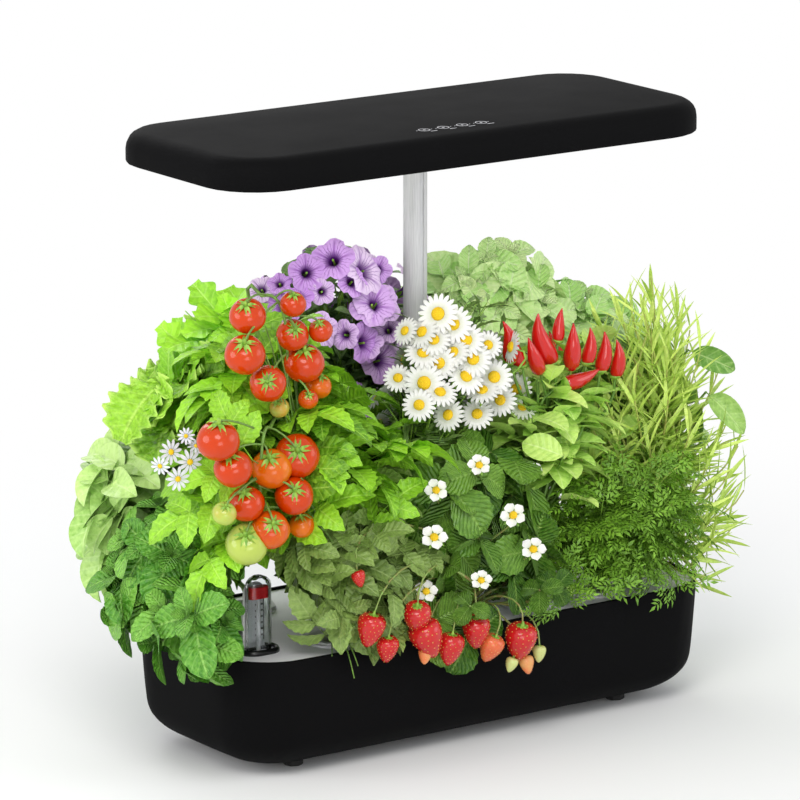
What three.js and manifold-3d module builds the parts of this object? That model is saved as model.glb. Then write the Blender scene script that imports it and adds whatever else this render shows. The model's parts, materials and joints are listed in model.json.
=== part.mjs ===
// Countertop hydroponic garden: twelve planted pods over a water tank, under a grow light that
// slides up and down on a telescopic pole. Millimetres, +Z up. The origin lies on the worktop under
// the middle of the garden, +X runs to the right along the tank and +Y runs to the back.

import * as THREE from "three";
import { mergeVertices } from "three/addons/utils/BufferGeometryUtils.js";
import Module from "manifold-3d";

const wasm = await Module();
wasm.setup();

// Fits that all pieces share
const seatGap = 0.3; // left between two faces that touch
const runningGap = 0.4; // round a piece that slides or turns in another
const overrun = 2; // how far a cut runs past the face that it opens

// How finely round forms are drawn
const rightAngle = Math.PI / 2;
const cornerSteps = 6;
const edgeSteps = 4;
const windowCornerSteps = 3;
const tubeSides = 18;
const podSides = 12;
const basketSides = 8;
const smallSides = 8;
const leafSides = 8;
const stemSides = 6;
const leafBands = 4;

// Water tank: a drafted tub with a deep rounded keel, standing on four pads
const tankLength = 400;
const tankDepth = 166.5;
const rimHeight = 86;
const tankCorner = 45;
const tankDraft = 3.1;
const keelHeight = 29.5;
const keelInset = 46;
const keelSteps = 5;
const keelCornerShare = 0.75; // how much of the corner radius the keel draws in
const tankWall = 2.4;
const tankFloor = 2.4;
const rimWall = 2.1;
const rimRound = 0.7;
const ledgeDrop = 5; // from the rim down to the ledge that carries the deck
const ledgeWidth = 4;
const ledgeHeight = 5;

// Feet
const footHeight = 3;
const footRadius = 7;
const footPocket = 0.9; // how deep a pad sits in the tank floor
const footSetbackX = 63; // from the tank's end to the middle of a pad
const footSetbackY = 41.75; // from the tank's long side to the middle of a pad
const footBevel = 0.8;

// Deck, the pale lid that carries the pods
const deckThickness = 2.6;
const deckSkirtHeight = 7;
const deckSkirtWidth = 2;
const deckRibWidth = 1.8;
const deckRibHeight = 5;

// Pods: a net basket with a sponge plug in each hole of the deck
const podColumns = 5;
const podColumnSetback = 90; // from the tank's end to the last pod of a row
const podRowSetback = 33.25; // from the tank's long side to a row of pods
const endPodSetback = 35; // from the tank's end to the pod there
const podHoleRadius = 15.5;
const collarWidth = 2.6;
const collarHeight = 1.5;
const basketLip = 1.6;
const basketWall = 1.3;
const basketLength = 46;
const basketTaper = 4;
const basketDrainRadius = 5;
const basketSlotWidth = 3.4;
const basketSlotHeight = 26;
const basketSlotRise = 7; // above the basket floor
const spongeLength = 40;

// Level window: a clear arched tube at the front left corner, with a float inside
const windowSetbackX = 35; // from the tank's left end
const windowSetbackY = 41.25; // from the tank's front
const windowWidth = 19;
const windowDepth = 10.5;
const windowHeight = 53;
const windowArch = 7; // height of the round top
const windowWall = 1.8;
const windowFlange = 2;
const windowFlangeHeight = 1.6;
const stadiumShare = 0.98; // corner radius of a stadium, as a share of half its depth
const floatHeadHeight = 8;
const floatStemRadius = 1.4;
const floatRadius = 9;
const floatHeight = 14;
const floatDrop = 3; // from the deck down to the float
const floatBevel = 1.5;

// Fill port with a hinged flap at the rear right corner
const portSetbackX = 38; // from the tank's right end
const portPodGap = 6.5; // from the end pod's collar to the flap
const portLength = 26;
const portDepth = 26;
const portCorner = 4;
const portCollar = 2;
const flapThickness = 1.8;
const flapOverlap = 2.4;
const flapLip = 4;
const flapLipCorner = 1.8;
const hingeRadius = 2.4;
const hingeRise = 3.2; // from the deck to the hinge axis
const hingePinRadius = 1.1;
const hingeSetback = 5; // from the port's edge to the hinge axis
const knuckleWidth = 12;
const earWidth = 4;

// Telescopic pole
const poleOffsetShare = 0.49; // of the free space between the middle and the rear pods
const poleRadius = 8.25;
const poleBore = 6.2;
const poleGrooveWidth = 3.4;
const poleGrooveDepth = 1;
const innerPoleRadius = 4.6;
const innerPoleWall = 1;
const innerPoleLength = 285;
const bushingLength = 18;
const bushingFlange = 1.2;
const socketRadius = 11.5;
const socketFlangeRadius = 14.5;
const socketFlangeHeight = 2.5;
const socketHeight = 18;
const socketDepth = 10; // how far the socket reaches below the deck
const socketStep = 2; // thickness of the shelf that the pole stands on
const socketBevel = 1.2;

// Grow light
const lampLength = 400;
const lampDepth = 166.5;
const lampHeight = 22;
const lampUnderside = 403.8;
const lampCorner = 41.5;
const lampFillet = 12;
const lampFootRound = 2;
const lampWall = 2.2;
const lampPlateRise = 0.8; // how far the base plate sits up inside the cover
const lampPlateThickness = 2.4;
const lampFrameWidth = 16;
const lampBridgeWidth = 30;
const diffuserThickness = 2;
const diffuserLap = 4;
const bossRadius = 11;
const bossHeight = 14;
const bossCap = 1.6;
const boardRise = 5.6; // from the base plate up to the light board
const boardThickness = 1.6;
const boardInset = 3;
const postRadius = 2.4;
const postInset = 6; // from the base plate's long side
const postSetback = 87.5; // from the base plate's end
const ledSize = 3.6;
const ledHeight = 1;
const ledRows = 3;
const ledColumns = 6;
const ledFieldShare = 0.84; // part of the board that the rows of lights take
const touchBoardLength = 64;
const touchBoardDepth = 22;
const touchBoardCorner = 1.6;
const touchX = -6.5;
const touchY = -52.5; // from the middle of the lamp
const touchPitch = 15.7;
const touchPadRadius = 4.6;
const touchPadHeight = 0.5;
const touchCount = 4;

// Power inlet in the back wall of the lamp
const inletRise = 7.4;
const inletRadius = 3.5;
const inletFlangeRadius = 5;
const inletFlange = 1.1;
const inletLength = 11;
const inletBore = 2.5;
const inletBoreDepth = 8;
const inletPinRadius = 0.9;

// Pump, standing on the tank floor under the pole
const pumpLength = 34;
const pumpDepth = 30;
const pumpHeight = 26;
const pumpCorner = 4;
const chamberRadius = 9;
const chamberDepth = 18;
const impellerRadius = 7.6;
const impellerHub = 5.6;
const impellerLength = 15;
const bladeLength = 5;
const bladeWidth = 1.4;
const bladeCount = 6;
const shaftRadius = 1.1;
const shaftSocket = 3; // how far each end of the shaft reaches into its seat
const nozzleRadius = 4;
const nozzleBore = 2.6;
const nozzleHeight = 10;
const pumpCoverThickness = 4.5;
const pumpCoverCorner = 1.5;
const intakeSlotWidth = 1.8;
const intakeSlotHeight = 14;
const intakeSlotPitch = 5;
const intakeSlots = 4;
const intakeDepth = 3;

// Space that the plants fill
const foliageReach = 255; // half of the width
const foliageDepth = 112; // half of the depth
const foliageTop = 345; // above the worktop
const foliageGap = 1;
const stemRadius = 4;
const stemRise = 14;
const flapRoom = 3; // kept free round the flap as it opens
const flapLean = THREE.MathUtils.degToRad(10); // how far the open flap leans back past upright

// Heights and sizes that follow from those above
const deckLength = tankLength - 2 * (rimWall + seatGap);
const deckDepth = tankDepth - 2 * (rimWall + seatGap);
const deckCorner = tankCorner - rimWall - seatGap;
const deckBottom = rimHeight - ledgeDrop + seatGap;
const deckTop = deckBottom + deckThickness;
const footX = tankLength / 2 - footSetbackX;
const footY = tankDepth / 2 - footSetbackY;
const podPitch = (tankLength - 2 * podColumnSetback) / (podColumns - 1);
const podRowY = tankDepth / 2 - podRowSetback;
const endPodX = tankLength / 2 - endPodSetback;
const windowX = windowSetbackX - tankLength / 2;
const windowY = windowSetbackY - tankDepth / 2;
const portX = tankLength / 2 - portSetbackX;
const podOuterRadius = podHoleRadius + collarWidth;
const flapDepth = portDepth + 2 * (portCollar + flapOverlap);
const portY = podOuterRadius + portPodGap + flapDepth / 2;
const poleY = poleOffsetShare * (podRowY - podOuterRadius - socketFlangeRadius);
const collarTop = deckTop + collarHeight;
const lipBottom = collarTop + seatGap;
const basketRadius = podHoleRadius - seatGap * 2;
const basketFloor = lipBottom - basketLength;
const spongeBottom = basketFloor + basketWall + seatGap;
const spongeTop = spongeBottom + spongeLength;
const cavityWidth = windowWidth - 2 * windowWall;
const cavityDepth = windowDepth - 2 * windowWall;
const hingeX = portX - portLength / 2 - portCollar - hingeSetback;
const hingeZ = deckTop + hingeRise;
const flapBottom = collarHeight + seatGap - hingeRise;
const flapEnd = portX + portLength / 2 + portCollar + flapOverlap - hingeX;
const flapBoreRadius = hingePinRadius + seatGap;
const poleTop = lampUnderside + lampPlateRise - seatGap * 2 - bushingFlange;
const poleBottom = deckTop - socketDepth + socketStep + seatGap;
const plateTop = lampPlateRise + lampPlateThickness;
const plateLength = lampLength - 2 * (lampWall + seatGap);
const plateDepth = lampDepth - 2 * (lampWall + seatGap);
const plateCorner = lampCorner - lampWall - seatGap;
const boardBottom = plateTop + boardRise;
const innerPoleTop = plateTop + bossHeight - bossCap - seatGap;
const windowBottom = deckTop + seatGap;
const cavityTop = windowHeight - windowWall;
const cavityArch = (windowArch * cavityWidth) / windowWidth;
const floatHeadRise = seatGap + cavityTop - cavityArch - runningGap - floatHeadHeight;

// Finishes
function finish(color, roughness, metalness = 0) {
  return new THREE.MeshStandardMaterial({ color, roughness, metalness });
}
const blackPlastic = () => finish(0x1b1b1d, 0.42);
const paleDeck = () => finish(0xe6e4ea, 0.5);
const basketPlastic = () => finish(0xd9d9da, 0.6);
const spongeFoam = () => finish(0x5a4636, 0.95);
const clearPlastic = () => finish(0xe8eef0, 0.08);
const redPlastic = () => finish(0xc4202a, 0.35);
const aluminium = () => finish(0xc4c6c9, 0.35, 0.9);
const frostedPlastic = () => finish(0xf2f2ee, 0.55);
const boardWhite = () => finish(0xf0efe8, 0.5);
const boardGreen = () => finish(0x1f5a3c, 0.5);
const steel = () => finish(0xb9bcc0, 0.25, 1);
const rubber = () => finish(0x141414, 0.9);
const leaf = (color) => finish(color, 0.8);

// A solid that can be joined and cut, from a closed three.js geometry
function solid(geometry) {
  const plain = geometry.clone();
  plain.deleteAttribute("normal");
  plain.deleteAttribute("uv");
  const merged = mergeVertices(plain);
  return new wasm.Manifold(
    new wasm.Mesh({
      numProp: 3,
      vertProperties: new Float32Array(merged.attributes.position.array),
      triVerts: new Uint32Array(merged.index.array),
    }),
  );
}

function toGeometry(body) {
  const mesh = body.getMesh();
  const geometry = new THREE.BufferGeometry();
  geometry.setAttribute("position", new THREE.BufferAttribute(new Float32Array(mesh.vertProperties), 3));
  geometry.setIndex(new THREE.BufferAttribute(new Uint32Array(mesh.triVerts), 1));
  geometry.computeVertexNormals();
  return geometry;
}

function part(name, shape, material, x = 0, y = 0, z = 0) {
  const geometry = shape.isBufferGeometry ? shape : toGeometry(shape);
  const mesh = new THREE.Mesh(geometry, material);
  mesh.name = name;
  mesh.position.set(x, y, z);
  return mesh;
}

const joinAll = (bodies) => bodies.reduce((sum, body) => sum.add(body));
const cutAll = (body, cutters) => cutters.reduce((rest, cutter) => rest.subtract(cutter), body);

// A rounded rectangle at height z, counter-clockwise seen from above
function roundedRing(length, depth, corner, z, steps = cornerSteps) {
  const quarters = [[1, 1], [-1, 1], [-1, -1], [1, -1]];
  return quarters.flatMap(([sideX, sideY], quarter) =>
    Array.from({ length: steps + 1 }, (_, step) => {
      const turn = (quarter + step / steps) * rightAngle;
      const x = sideX * (length / 2 - corner) + corner * Math.cos(turn);
      const y = sideY * (depth / 2 - corner) + corner * Math.sin(turn);
      return new THREE.Vector3(x, y, z);
    }),
  );
}

// The closed skin through a stack of rings that all have the same number of points
function loft(rings) {
  const count = rings[0].length;
  const faces = [];
  for (let level = 0; level + 1 < rings.length; level++) {
    for (let k = 0; k < count; k++) {
      const a = level * count + k;
      const b = level * count + ((k + 1) % count);
      faces.push(a, b, b + count, a, b + count, a + count);
    }
  }
  const top = (rings.length - 1) * count;
  for (let k = 1; k + 1 < count; k++) {
    faces.push(0, k + 1, k, top, top + k, top + k + 1);
  }
  const geometry = new THREE.BufferGeometry().setFromPoints(rings.flat());
  geometry.setIndex(faces);
  return geometry;
}

function roundedShape(length, depth, corner) {
  const shape = new THREE.Shape();
  const x = length / 2 - corner;
  const y = depth / 2 - corner;
  shape.absarc(x, y, corner, 0, rightAngle);
  shape.absarc(-x, y, corner, rightAngle, 2 * rightAngle);
  shape.absarc(-x, -y, corner, 2 * rightAngle, 3 * rightAngle);
  shape.absarc(x, -y, corner, 3 * rightAngle, 4 * rightAngle);
  return shape;
}

// An extruded outline; each of its arcs gets twice curveSegments steps
function extrude(shape, depth, curveSegments = cornerSteps / 2) {
  return new THREE.ExtrudeGeometry(shape, { depth, bevelEnabled: false, curveSegments });
}

// A plate or post standing on the given point
function plate(length, depth, corner, height, x = 0, y = 0, z = 0) {
  return solid(extrude(roundedShape(length, depth, corner), height).translate(x, y, z));
}

function block(length, depth, height, x = 0, y = 0, z = 0) {
  return solid(new THREE.BoxGeometry(length, depth, height).translate(x, y, z + height / 2));
}

function disc(radius, height, sides, x = 0, y = 0, z = 0) {
  const upright = new THREE.CylinderGeometry(radius, radius, height, sides).rotateX(rightAngle);
  return solid(upright.translate(x, y, z + height / 2));
}

// A round bar along Y, centred on the given point
function crossBar(radius, length, sides, x = 0, y = 0, z = 0) {
  return solid(new THREE.CylinderGeometry(radius, radius, length, sides).translate(x, y, z));
}

// A turned piece about Z; its profile is a list of [radius, height] that runs up the outside
function turned(profile, sides) {
  const points = profile.map(([radius, height]) => new THREE.Vector2(radius, height));
  return new THREE.LatheGeometry(points, sides).rotateX(rightAngle);
}

// Water tank
function tankRing(z, inset) {
  const corner = tankCorner * (1 - (keelCornerShare * inset) / (tankDraft + keelInset));
  return roundedRing(tankLength - 2 * inset, tankDepth - 2 * inset, corner, z);
}

function keelRings(wall, floor) {
  return Array.from({ length: keelSteps + 1 }, (_, k) => {
    const turn = (k / keelSteps) * rightAngle;
    const z = footHeight + floor + keelHeight * (1 - Math.cos(turn));
    return tankRing(z, tankDraft + wall + keelInset * (1 - Math.sin(turn)));
  });
}

function tankOutside() {
  return solid(loft([...keelRings(0, 0), tankRing(rimHeight - rimRound, 0), tankRing(rimHeight, rimRound)]));
}

function makeTank() {
  const ledgeZ = rimHeight - ledgeDrop;
  const ledgeFoot = ledgeZ - ledgeHeight;
  const cavity = solid(
    loft([
      ...keelRings(tankWall, tankFloor),
      tankRing(ledgeFoot - ledgeWidth, tankWall),
      tankRing(ledgeFoot, tankWall + ledgeWidth),
      tankRing(ledgeZ + overrun, tankWall + ledgeWidth),
    ]),
  );
  const recess = solid(
    loft([
      roundedRing(deckLength + 2 * seatGap, deckDepth + 2 * seatGap, deckCorner + seatGap, ledgeZ),
      roundedRing(deckLength + 2 * seatGap, deckDepth + 2 * seatGap, deckCorner + seatGap, rimHeight + overrun),
    ]),
  );
  const pocketHeight = footPocket + seatGap + overrun;
  const pockets = footPlaces().map(([x, y]) =>
    disc(footRadius + seatGap, pocketHeight, smallSides, x, y, footHeight - overrun),
  );
  return part("water_tank", cutAll(tankOutside(), [cavity, recess, ...pockets]), blackPlastic());
}

function footPlaces() {
  return [[-footX, -footY], [footX, -footY], [footX, footY], [-footX, footY]];
}

function makeFeet() {
  const names = ["foot_front_left", "foot_front_right", "foot_rear_right", "foot_rear_left"];
  const profile = [
    [0, 0],
    [footRadius - footBevel, 0],
    [footRadius, footBevel],
    [footRadius, footHeight + footPocket],
    [0, footHeight + footPocket],
  ];
  return footPlaces().map(([x, y], k) => part(names[k], turned(profile, smallSides), rubber(), x, y));
}

// Pods: a row along the front, a row along the back and one at each end
function podPlaces() {
  const columns = Array.from({ length: podColumns }, (_, k) => k - (podColumns - 1) / 2);
  return [
    ...columns.map((column) => [column * podPitch, -podRowY]),
    [-endPodX, 0],
    [endPodX, 0],
    ...columns.map((column) => [column * podPitch, podRowY]),
  ];
}

// Deck, with a raised collar round each pod, the pole hole, the window slot and the fill port
function makeDeck() {
  const skirtLength = deckLength - 2 * (ledgeWidth + tankWall);
  const skirtDepth = deckDepth - 2 * (ledgeWidth + tankWall);
  const skirtCorner = deckCorner - ledgeWidth - tankWall;
  const skirtZ = deckBottom - deckSkirtHeight;
  const skirtBand = (inset) =>
    plate(skirtLength - 2 * inset, skirtDepth - 2 * inset, skirtCorner - inset, deckSkirtHeight, 0, 0, skirtZ);
  const skirt = skirtBand(0).subtract(skirtBand(deckSkirtWidth));
  const ribY = podRowY - podOuterRadius - deckRibWidth;
  const ribLength = (podColumns - 1) * podPitch;
  const ribs = [-ribY, ribY].map((y) =>
    block(ribLength, deckRibWidth, deckRibHeight, 0, y, deckBottom - deckRibHeight),
  );
  const collars = podPlaces().map(([x, y]) =>
    disc(podOuterRadius, deckThickness + collarHeight, podSides, x, y, deckBottom),
  );
  const portCollarBody = plate(
    portLength + 2 * portCollar,
    portDepth + 2 * portCollar,
    portCorner + portCollar,
    deckThickness + collarHeight,
    portX,
    portY,
    deckBottom,
  );
  const body = joinAll([
    plate(deckLength, deckDepth, deckCorner, deckThickness, 0, 0, deckBottom),
    skirt,
    ...ribs,
    ...collars,
    portCollarBody,
    ...hingeEars(),
  ]);
  const cutHeight = deckThickness + collarHeight + 2 * overrun;
  const cutZ = deckBottom - overrun;
  const podHoles = podPlaces().map(([x, y]) => disc(podHoleRadius, cutHeight, podSides, x, y, cutZ));
  const slotCorner = (cavityDepth / 2) * stadiumShare;
  const holes = [
    ...podHoles,
    disc(socketRadius, cutHeight, tubeSides, 0, poleY, cutZ),
    plate(cavityWidth, cavityDepth, slotCorner, cutHeight, windowX, windowY, cutZ),
    plate(portLength, portDepth, portCorner, cutHeight, portX, portY, cutZ),
    crossBar(flapBoreRadius, 2 * knuckleWidth + 2 * earWidth, smallSides, hingeX, portY, hingeZ),
  ];
  return part("grow_deck", cutAll(body, holes), paleDeck());
}

// Two ears that stand on the deck and hold the ends of the hinge pin
function hingeEars() {
  const offset = knuckleWidth / 2 + runningGap + earWidth / 2;
  return [-offset, offset].map((y) =>
    crossBar(hingeRadius, earWidth, smallSides, hingeX, portY + y, hingeZ).add(
      block(2 * hingeRadius, earWidth, hingeRise, hingeX, portY + y, deckTop),
    ),
  );
}

// Flap and its pin; the flap is drawn about its own hinge axis
function makeFlap() {
  const plateStart = hingeRadius + runningGap * 2;
  const lidLength = flapEnd - plateStart;
  const lid = plate(lidLength, flapDepth, portCorner, flapThickness, plateStart + lidLength / 2, 0, flapBottom);
  const web = block(plateStart + portCorner, knuckleWidth, flapThickness, (plateStart + portCorner) / 2, 0, flapBottom);
  const lip = plate(flapLip * 2, knuckleWidth, flapLipCorner, flapThickness, flapEnd, 0, flapBottom);
  const knuckle = crossBar(hingeRadius, knuckleWidth, smallSides);
  const bore = crossBar(flapBoreRadius, knuckleWidth + 2 * overrun, smallSides);
  const body = joinAll([lid, web, lip, knuckle]).subtract(bore);
  return part("fill_flap", body, blackPlastic(), hingeX, portY, hingeZ);
}

function makeFlapPin() {
  const length = knuckleWidth + 2 * (runningGap + earWidth);
  const pin = new THREE.CylinderGeometry(hingePinRadius, hingePinRadius, length, smallSides);
  return part("flap_hinge_pin", pin, steel(), hingeX, portY, hingeZ);
}

// Net basket: a tapered cup with a drain hole and long slots down its sides
function makeBasket(name, x, y) {
  const floorRadius = basketRadius - basketTaper;
  const profile = [
    [basketDrainRadius, 0],
    [floorRadius, 0],
    [basketRadius, basketLength],
    [podOuterRadius, basketLength],
    [podOuterRadius, basketLength + basketLip],
    [basketRadius - basketWall, basketLength + basketLip],
    [floorRadius - basketWall, basketWall],
    [basketDrainRadius, basketWall],
    [basketDrainRadius, 0],
  ];
  const facet = (4 * rightAngle) / basketSides;
  const slots = [facet / 2, facet / 2 + rightAngle].map((turn) =>
    solid(
      new THREE.BoxGeometry(3 * basketRadius, basketSlotWidth, basketSlotHeight)
        .rotateZ(turn)
        .translate(0, 0, basketSlotRise + basketSlotHeight / 2),
    ),
  );
  return part(name, cutAll(solid(turned(profile, basketSides)), slots), basketPlastic(), x, y, basketFloor);
}

// Sponge plug, cut to the taper of the basket
function makeSponge(name, x, y) {
  const rise = (height) => basketRadius - basketTaper * (1 - height / basketLength);
  const radiusAt = (z) => rise(z - basketFloor) - basketWall - seatGap;
  const profile = [
    [0, 0],
    [radiusAt(spongeBottom), 0],
    [radiusAt(spongeTop), spongeLength],
    [0, spongeLength],
  ];
  return part(name, turned(profile, basketSides), spongeFoam(), x, y, spongeBottom);
}

// Level window
function stadiumRing(width, depth, z) {
  return roundedRing(width, depth, (depth / 2) * stadiumShare, z, windowCornerSteps);
}

// The arched tube: straight sides, then a round top
function archRings(width, depth, foot, top) {
  const archHeight = (windowArch * width) / windowWidth;
  const arch = Array.from({ length: edgeSteps }, (_, k) => {
    const turn = (k / edgeSteps) * rightAngle;
    const narrow = Math.cos(turn);
    return stadiumRing(width * narrow, depth * Math.sqrt(narrow), top - archHeight * (1 - Math.sin(turn)));
  });
  return [stadiumRing(width, depth, foot), ...arch];
}

function makeWindow() {
  const outer = solid(loft(archRings(windowWidth, windowDepth, 0, windowHeight)));
  const flangeWidth = windowWidth + 2 * windowFlange;
  const flangeDepth = windowDepth + 2 * windowFlange;
  const flange = plate(flangeWidth, flangeDepth, (flangeDepth / 2) * stadiumShare, windowFlangeHeight);
  const cavity = solid(loft(archRings(cavityWidth, cavityDepth, -overrun, cavityTop)));
  return part("level_window", outer.add(flange).subtract(cavity), clearPlastic(), windowX, windowY, windowBottom);
}

// Float: a red head in the window, on a stem that comes through the deck from a drum in the water
function makeFloat() {
  const headWidth = cavityWidth - 2 * runningGap;
  const headDepth = cavityDepth - 2 * runningGap;
  const head = plate(headWidth, headDepth, (headDepth / 2) * stadiumShare, floatHeadHeight, 0, 0, floatHeadRise);
  const drumTop = deckBottom - deckTop - floatDrop;
  const drumBottom = drumTop - floatHeight;
  const stemLength = floatHeadRise - drumTop + 2 * floatBevel;
  const stem = disc(floatStemRadius, stemLength, smallSides, 0, 0, drumTop - floatBevel);
  const drum = solid(
    turned(
      [
        [0, drumBottom],
        [floatRadius - floatBevel, drumBottom],
        [floatRadius, drumBottom + floatBevel],
        [floatRadius, drumTop - floatBevel],
        [floatRadius - floatBevel, drumTop],
        [0, drumTop],
      ],
      podSides,
    ),
  );
  return part("level_float", joinAll([head, stem, drum]), redPlastic(), windowX, windowY, deckTop);
}

// Pole socket: a flanged boss through the deck, with a shelf that the pole stands on
function makeSocket() {
  const bore = poleRadius + seatGap;
  const profile = [
    [poleBore, -socketDepth],
    [socketRadius - seatGap, -socketDepth],
    [socketRadius - seatGap, seatGap],
    [socketFlangeRadius, seatGap],
    [socketFlangeRadius, socketFlangeHeight - socketBevel],
    [socketFlangeRadius - socketBevel, socketFlangeHeight],
    [socketRadius, socketFlangeHeight],
    [socketRadius - socketBevel, socketHeight],
    [bore, socketHeight],
    [bore, socketStep - socketDepth],
    [poleBore, socketStep - socketDepth],
    [poleBore, -socketDepth],
  ];
  return part("pole_socket", turned(profile, tubeSides), blackPlastic(), 0, poleY, deckTop);
}

// Outer pole: an extruded tube with a shallow groove down its front
function makeOuterPole() {
  const half = Math.asin(poleGrooveWidth / 2 / poleRadius);
  const front = 3 * rightAngle;
  const floorY = poleGrooveDepth - poleRadius;
  const section = new THREE.Shape();
  section.absarc(0, 0, poleRadius, front + half, front - half + 4 * rightAngle);
  section.lineTo(-poleGrooveWidth / 2, floorY);
  section.lineTo(poleGrooveWidth / 2, floorY);
  const bore = new THREE.Path();
  bore.absarc(0, 0, poleBore, 0, 4 * rightAngle, true);
  section.holes.push(bore);
  const tube = extrude(section, poleTop - poleBottom, tubeSides / 2);
  return part("outer_pole", tube, aluminium(), 0, poleY, poleBottom);
}

// Bushing in the mouth of the outer pole, which guides the inner pole
function makeBushing() {
  const bore = innerPoleRadius + seatGap;
  const profile = [
    [bore, -bushingLength],
    [poleBore - seatGap, -bushingLength],
    [poleBore - seatGap, seatGap],
    [poleRadius, seatGap],
    [poleRadius, seatGap + bushingFlange],
    [bore, seatGap + bushingFlange],
    [bore, -bushingLength],
  ];
  return part("pole_bushing", turned(profile, tubeSides), blackPlastic(), 0, poleY, poleTop);
}

function makeInnerPole() {
  const bore = innerPoleRadius - innerPoleWall;
  const profile = [
    [bore, -innerPoleLength],
    [innerPoleRadius, -innerPoleLength],
    [innerPoleRadius, 0],
    [bore, 0],
    [bore, -innerPoleLength],
  ];
  return part("inner_pole", turned(profile, podSides), aluminium(), 0, 0, innerPoleTop);
}

// Grow light cover: a shallow rounded shell, open below
function lampRings(inset, foot, top, fillet) {
  const ring = (z, draw) => {
    const drawn = inset + draw;
    return roundedRing(lampLength - 2 * drawn, lampDepth - 2 * drawn, lampCorner - drawn, z);
  };
  const shoulder = Array.from({ length: edgeSteps + 2 }, (_, k) => {
    const turn = (k / (edgeSteps + 1)) * rightAngle;
    return ring(top - fillet * (1 - Math.sin(turn)), fillet * (1 - Math.cos(turn)));
  });
  return [...foot(ring), ...shoulder];
}

function makeLampCover() {
  const soften = (ring) => [
    ring(0, lampFootRound),
    ring(lampFootRound * (1 - Math.SQRT1_2), lampFootRound * (1 - Math.SQRT1_2)),
    ring(lampFootRound, 0),
  ];
  const outer = solid(loft(lampRings(0, soften, lampHeight, lampFillet)));
  const open = (ring) => [ring(-overrun, 0)];
  const inner = solid(loft(lampRings(lampWall, open, lampHeight - lampWall, lampFillet - lampWall)));
  const inletHole = crossBar(inletRadius + seatGap, 4 * lampWall, podSides, 0, lampDepth / 2, inletRise);
  return part("lamp_cover", cutAll(outer, [inner, inletHole]), blackPlastic());
}

// Base plate: a frame with two light openings, a bridge with the pole boss, and posts for the board
function makeLampBase() {
  const openLength = (plateLength - lampBridgeWidth) / 2 - lampFrameWidth;
  const openingDepth = plateDepth - 2 * lampFrameWidth;
  const openingX = (openLength + lampBridgeWidth) / 2;
  const openingCorner = plateCorner - lampFrameWidth;
  const cutHeight = lampPlateThickness + 2 * overrun;
  const openings = [-openingX, openingX].map((x) =>
    plate(openLength, openingDepth, openingCorner, cutHeight, x, 0, lampPlateRise - overrun),
  );
  const postX = plateLength / 2 - postSetback;
  const postY = plateDepth / 2 - postInset;
  const postHeight = lampPlateThickness + boardRise - seatGap;
  const posts = [-postX, postX].flatMap((x) =>
    [-postY, postY].map((y) => disc(postRadius, postHeight, smallSides, x, y, lampPlateRise)),
  );
  const frame = cutAll(
    plate(plateLength, plateDepth, plateCorner, lampPlateThickness, 0, 0, lampPlateRise),
    openings,
  );
  const boss = disc(bossRadius, lampPlateThickness + bossHeight, tubeSides, 0, 0, lampPlateRise);
  const socket = disc(
    innerPoleRadius + seatGap,
    lampPlateThickness + bossHeight - bossCap + overrun,
    tubeSides,
    0,
    0,
    lampPlateRise - overrun,
  );
  return part("lamp_base", joinAll([frame, boss, ...posts]).subtract(socket), blackPlastic());
}

function makeDiffuser() {
  const length = plateLength - 2 * (lampFrameWidth - diffuserLap);
  const depth = plateDepth - 2 * (lampFrameWidth - diffuserLap);
  const corner = plateCorner - lampFrameWidth + diffuserLap;
  const hole = disc(bossRadius + 2 * seatGap, diffuserThickness + 2 * overrun, tubeSides, 0, 0, -overrun);
  const body = plate(length, depth, corner, diffuserThickness).subtract(hole);
  return part("lamp_diffuser", body, frostedPlastic(), 0, 0, plateTop + seatGap);
}

// Light board, with rows of light chips on its underside
function makeLedBoard() {
  const length = plateLength - 2 * boardInset;
  const depth = plateDepth - 2 * boardInset;
  const board = plate(length, depth, plateCorner - boardInset, boardThickness);
  const spanX = (length * ledFieldShare) / (ledColumns - 1);
  const spanY = (depth * ledFieldShare) / ledRows;
  const chips = [];
  for (let column = 0; column < ledColumns; column++) {
    for (let row = 0; row < ledRows; row++) {
      const x = (column - (ledColumns - 1) / 2) * spanX;
      const y = (row - (ledRows - 1) / 2) * spanY;
      chips.push(block(ledSize, ledSize, ledHeight + boardThickness, x, y, -ledHeight));
    }
  }
  const notch = block(
    2 * inletFlangeRadius + 2 * overrun,
    2 * (inletLength + overrun - boardInset),
    boardThickness + 2 * overrun,
    0,
    depth / 2,
    -overrun,
  );
  const hole = disc(bossRadius + seatGap * 2, boardThickness + 2 * overrun, tubeSides, 0, 0, -overrun);
  return part("led_board", cutAll(joinAll([board, ...chips]), [notch, hole]), boardWhite(), 0, 0, boardBottom);
}

// Touch board, right under the four touch marks on the cover
function makeTouchBoard() {
  const top = lampHeight - lampWall - seatGap - touchPadHeight;
  const board = plate(touchBoardLength, touchBoardDepth, touchBoardCorner, boardThickness);
  const pads = Array.from({ length: touchCount }, (_, k) =>
    disc(touchPadRadius, boardThickness + touchPadHeight, leafSides, (k - (touchCount - 1) / 2) * touchPitch),
  );
  return part("touch_board", joinAll([board, ...pads]), boardGreen(), touchX, touchY, top - boardThickness);
}

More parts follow.
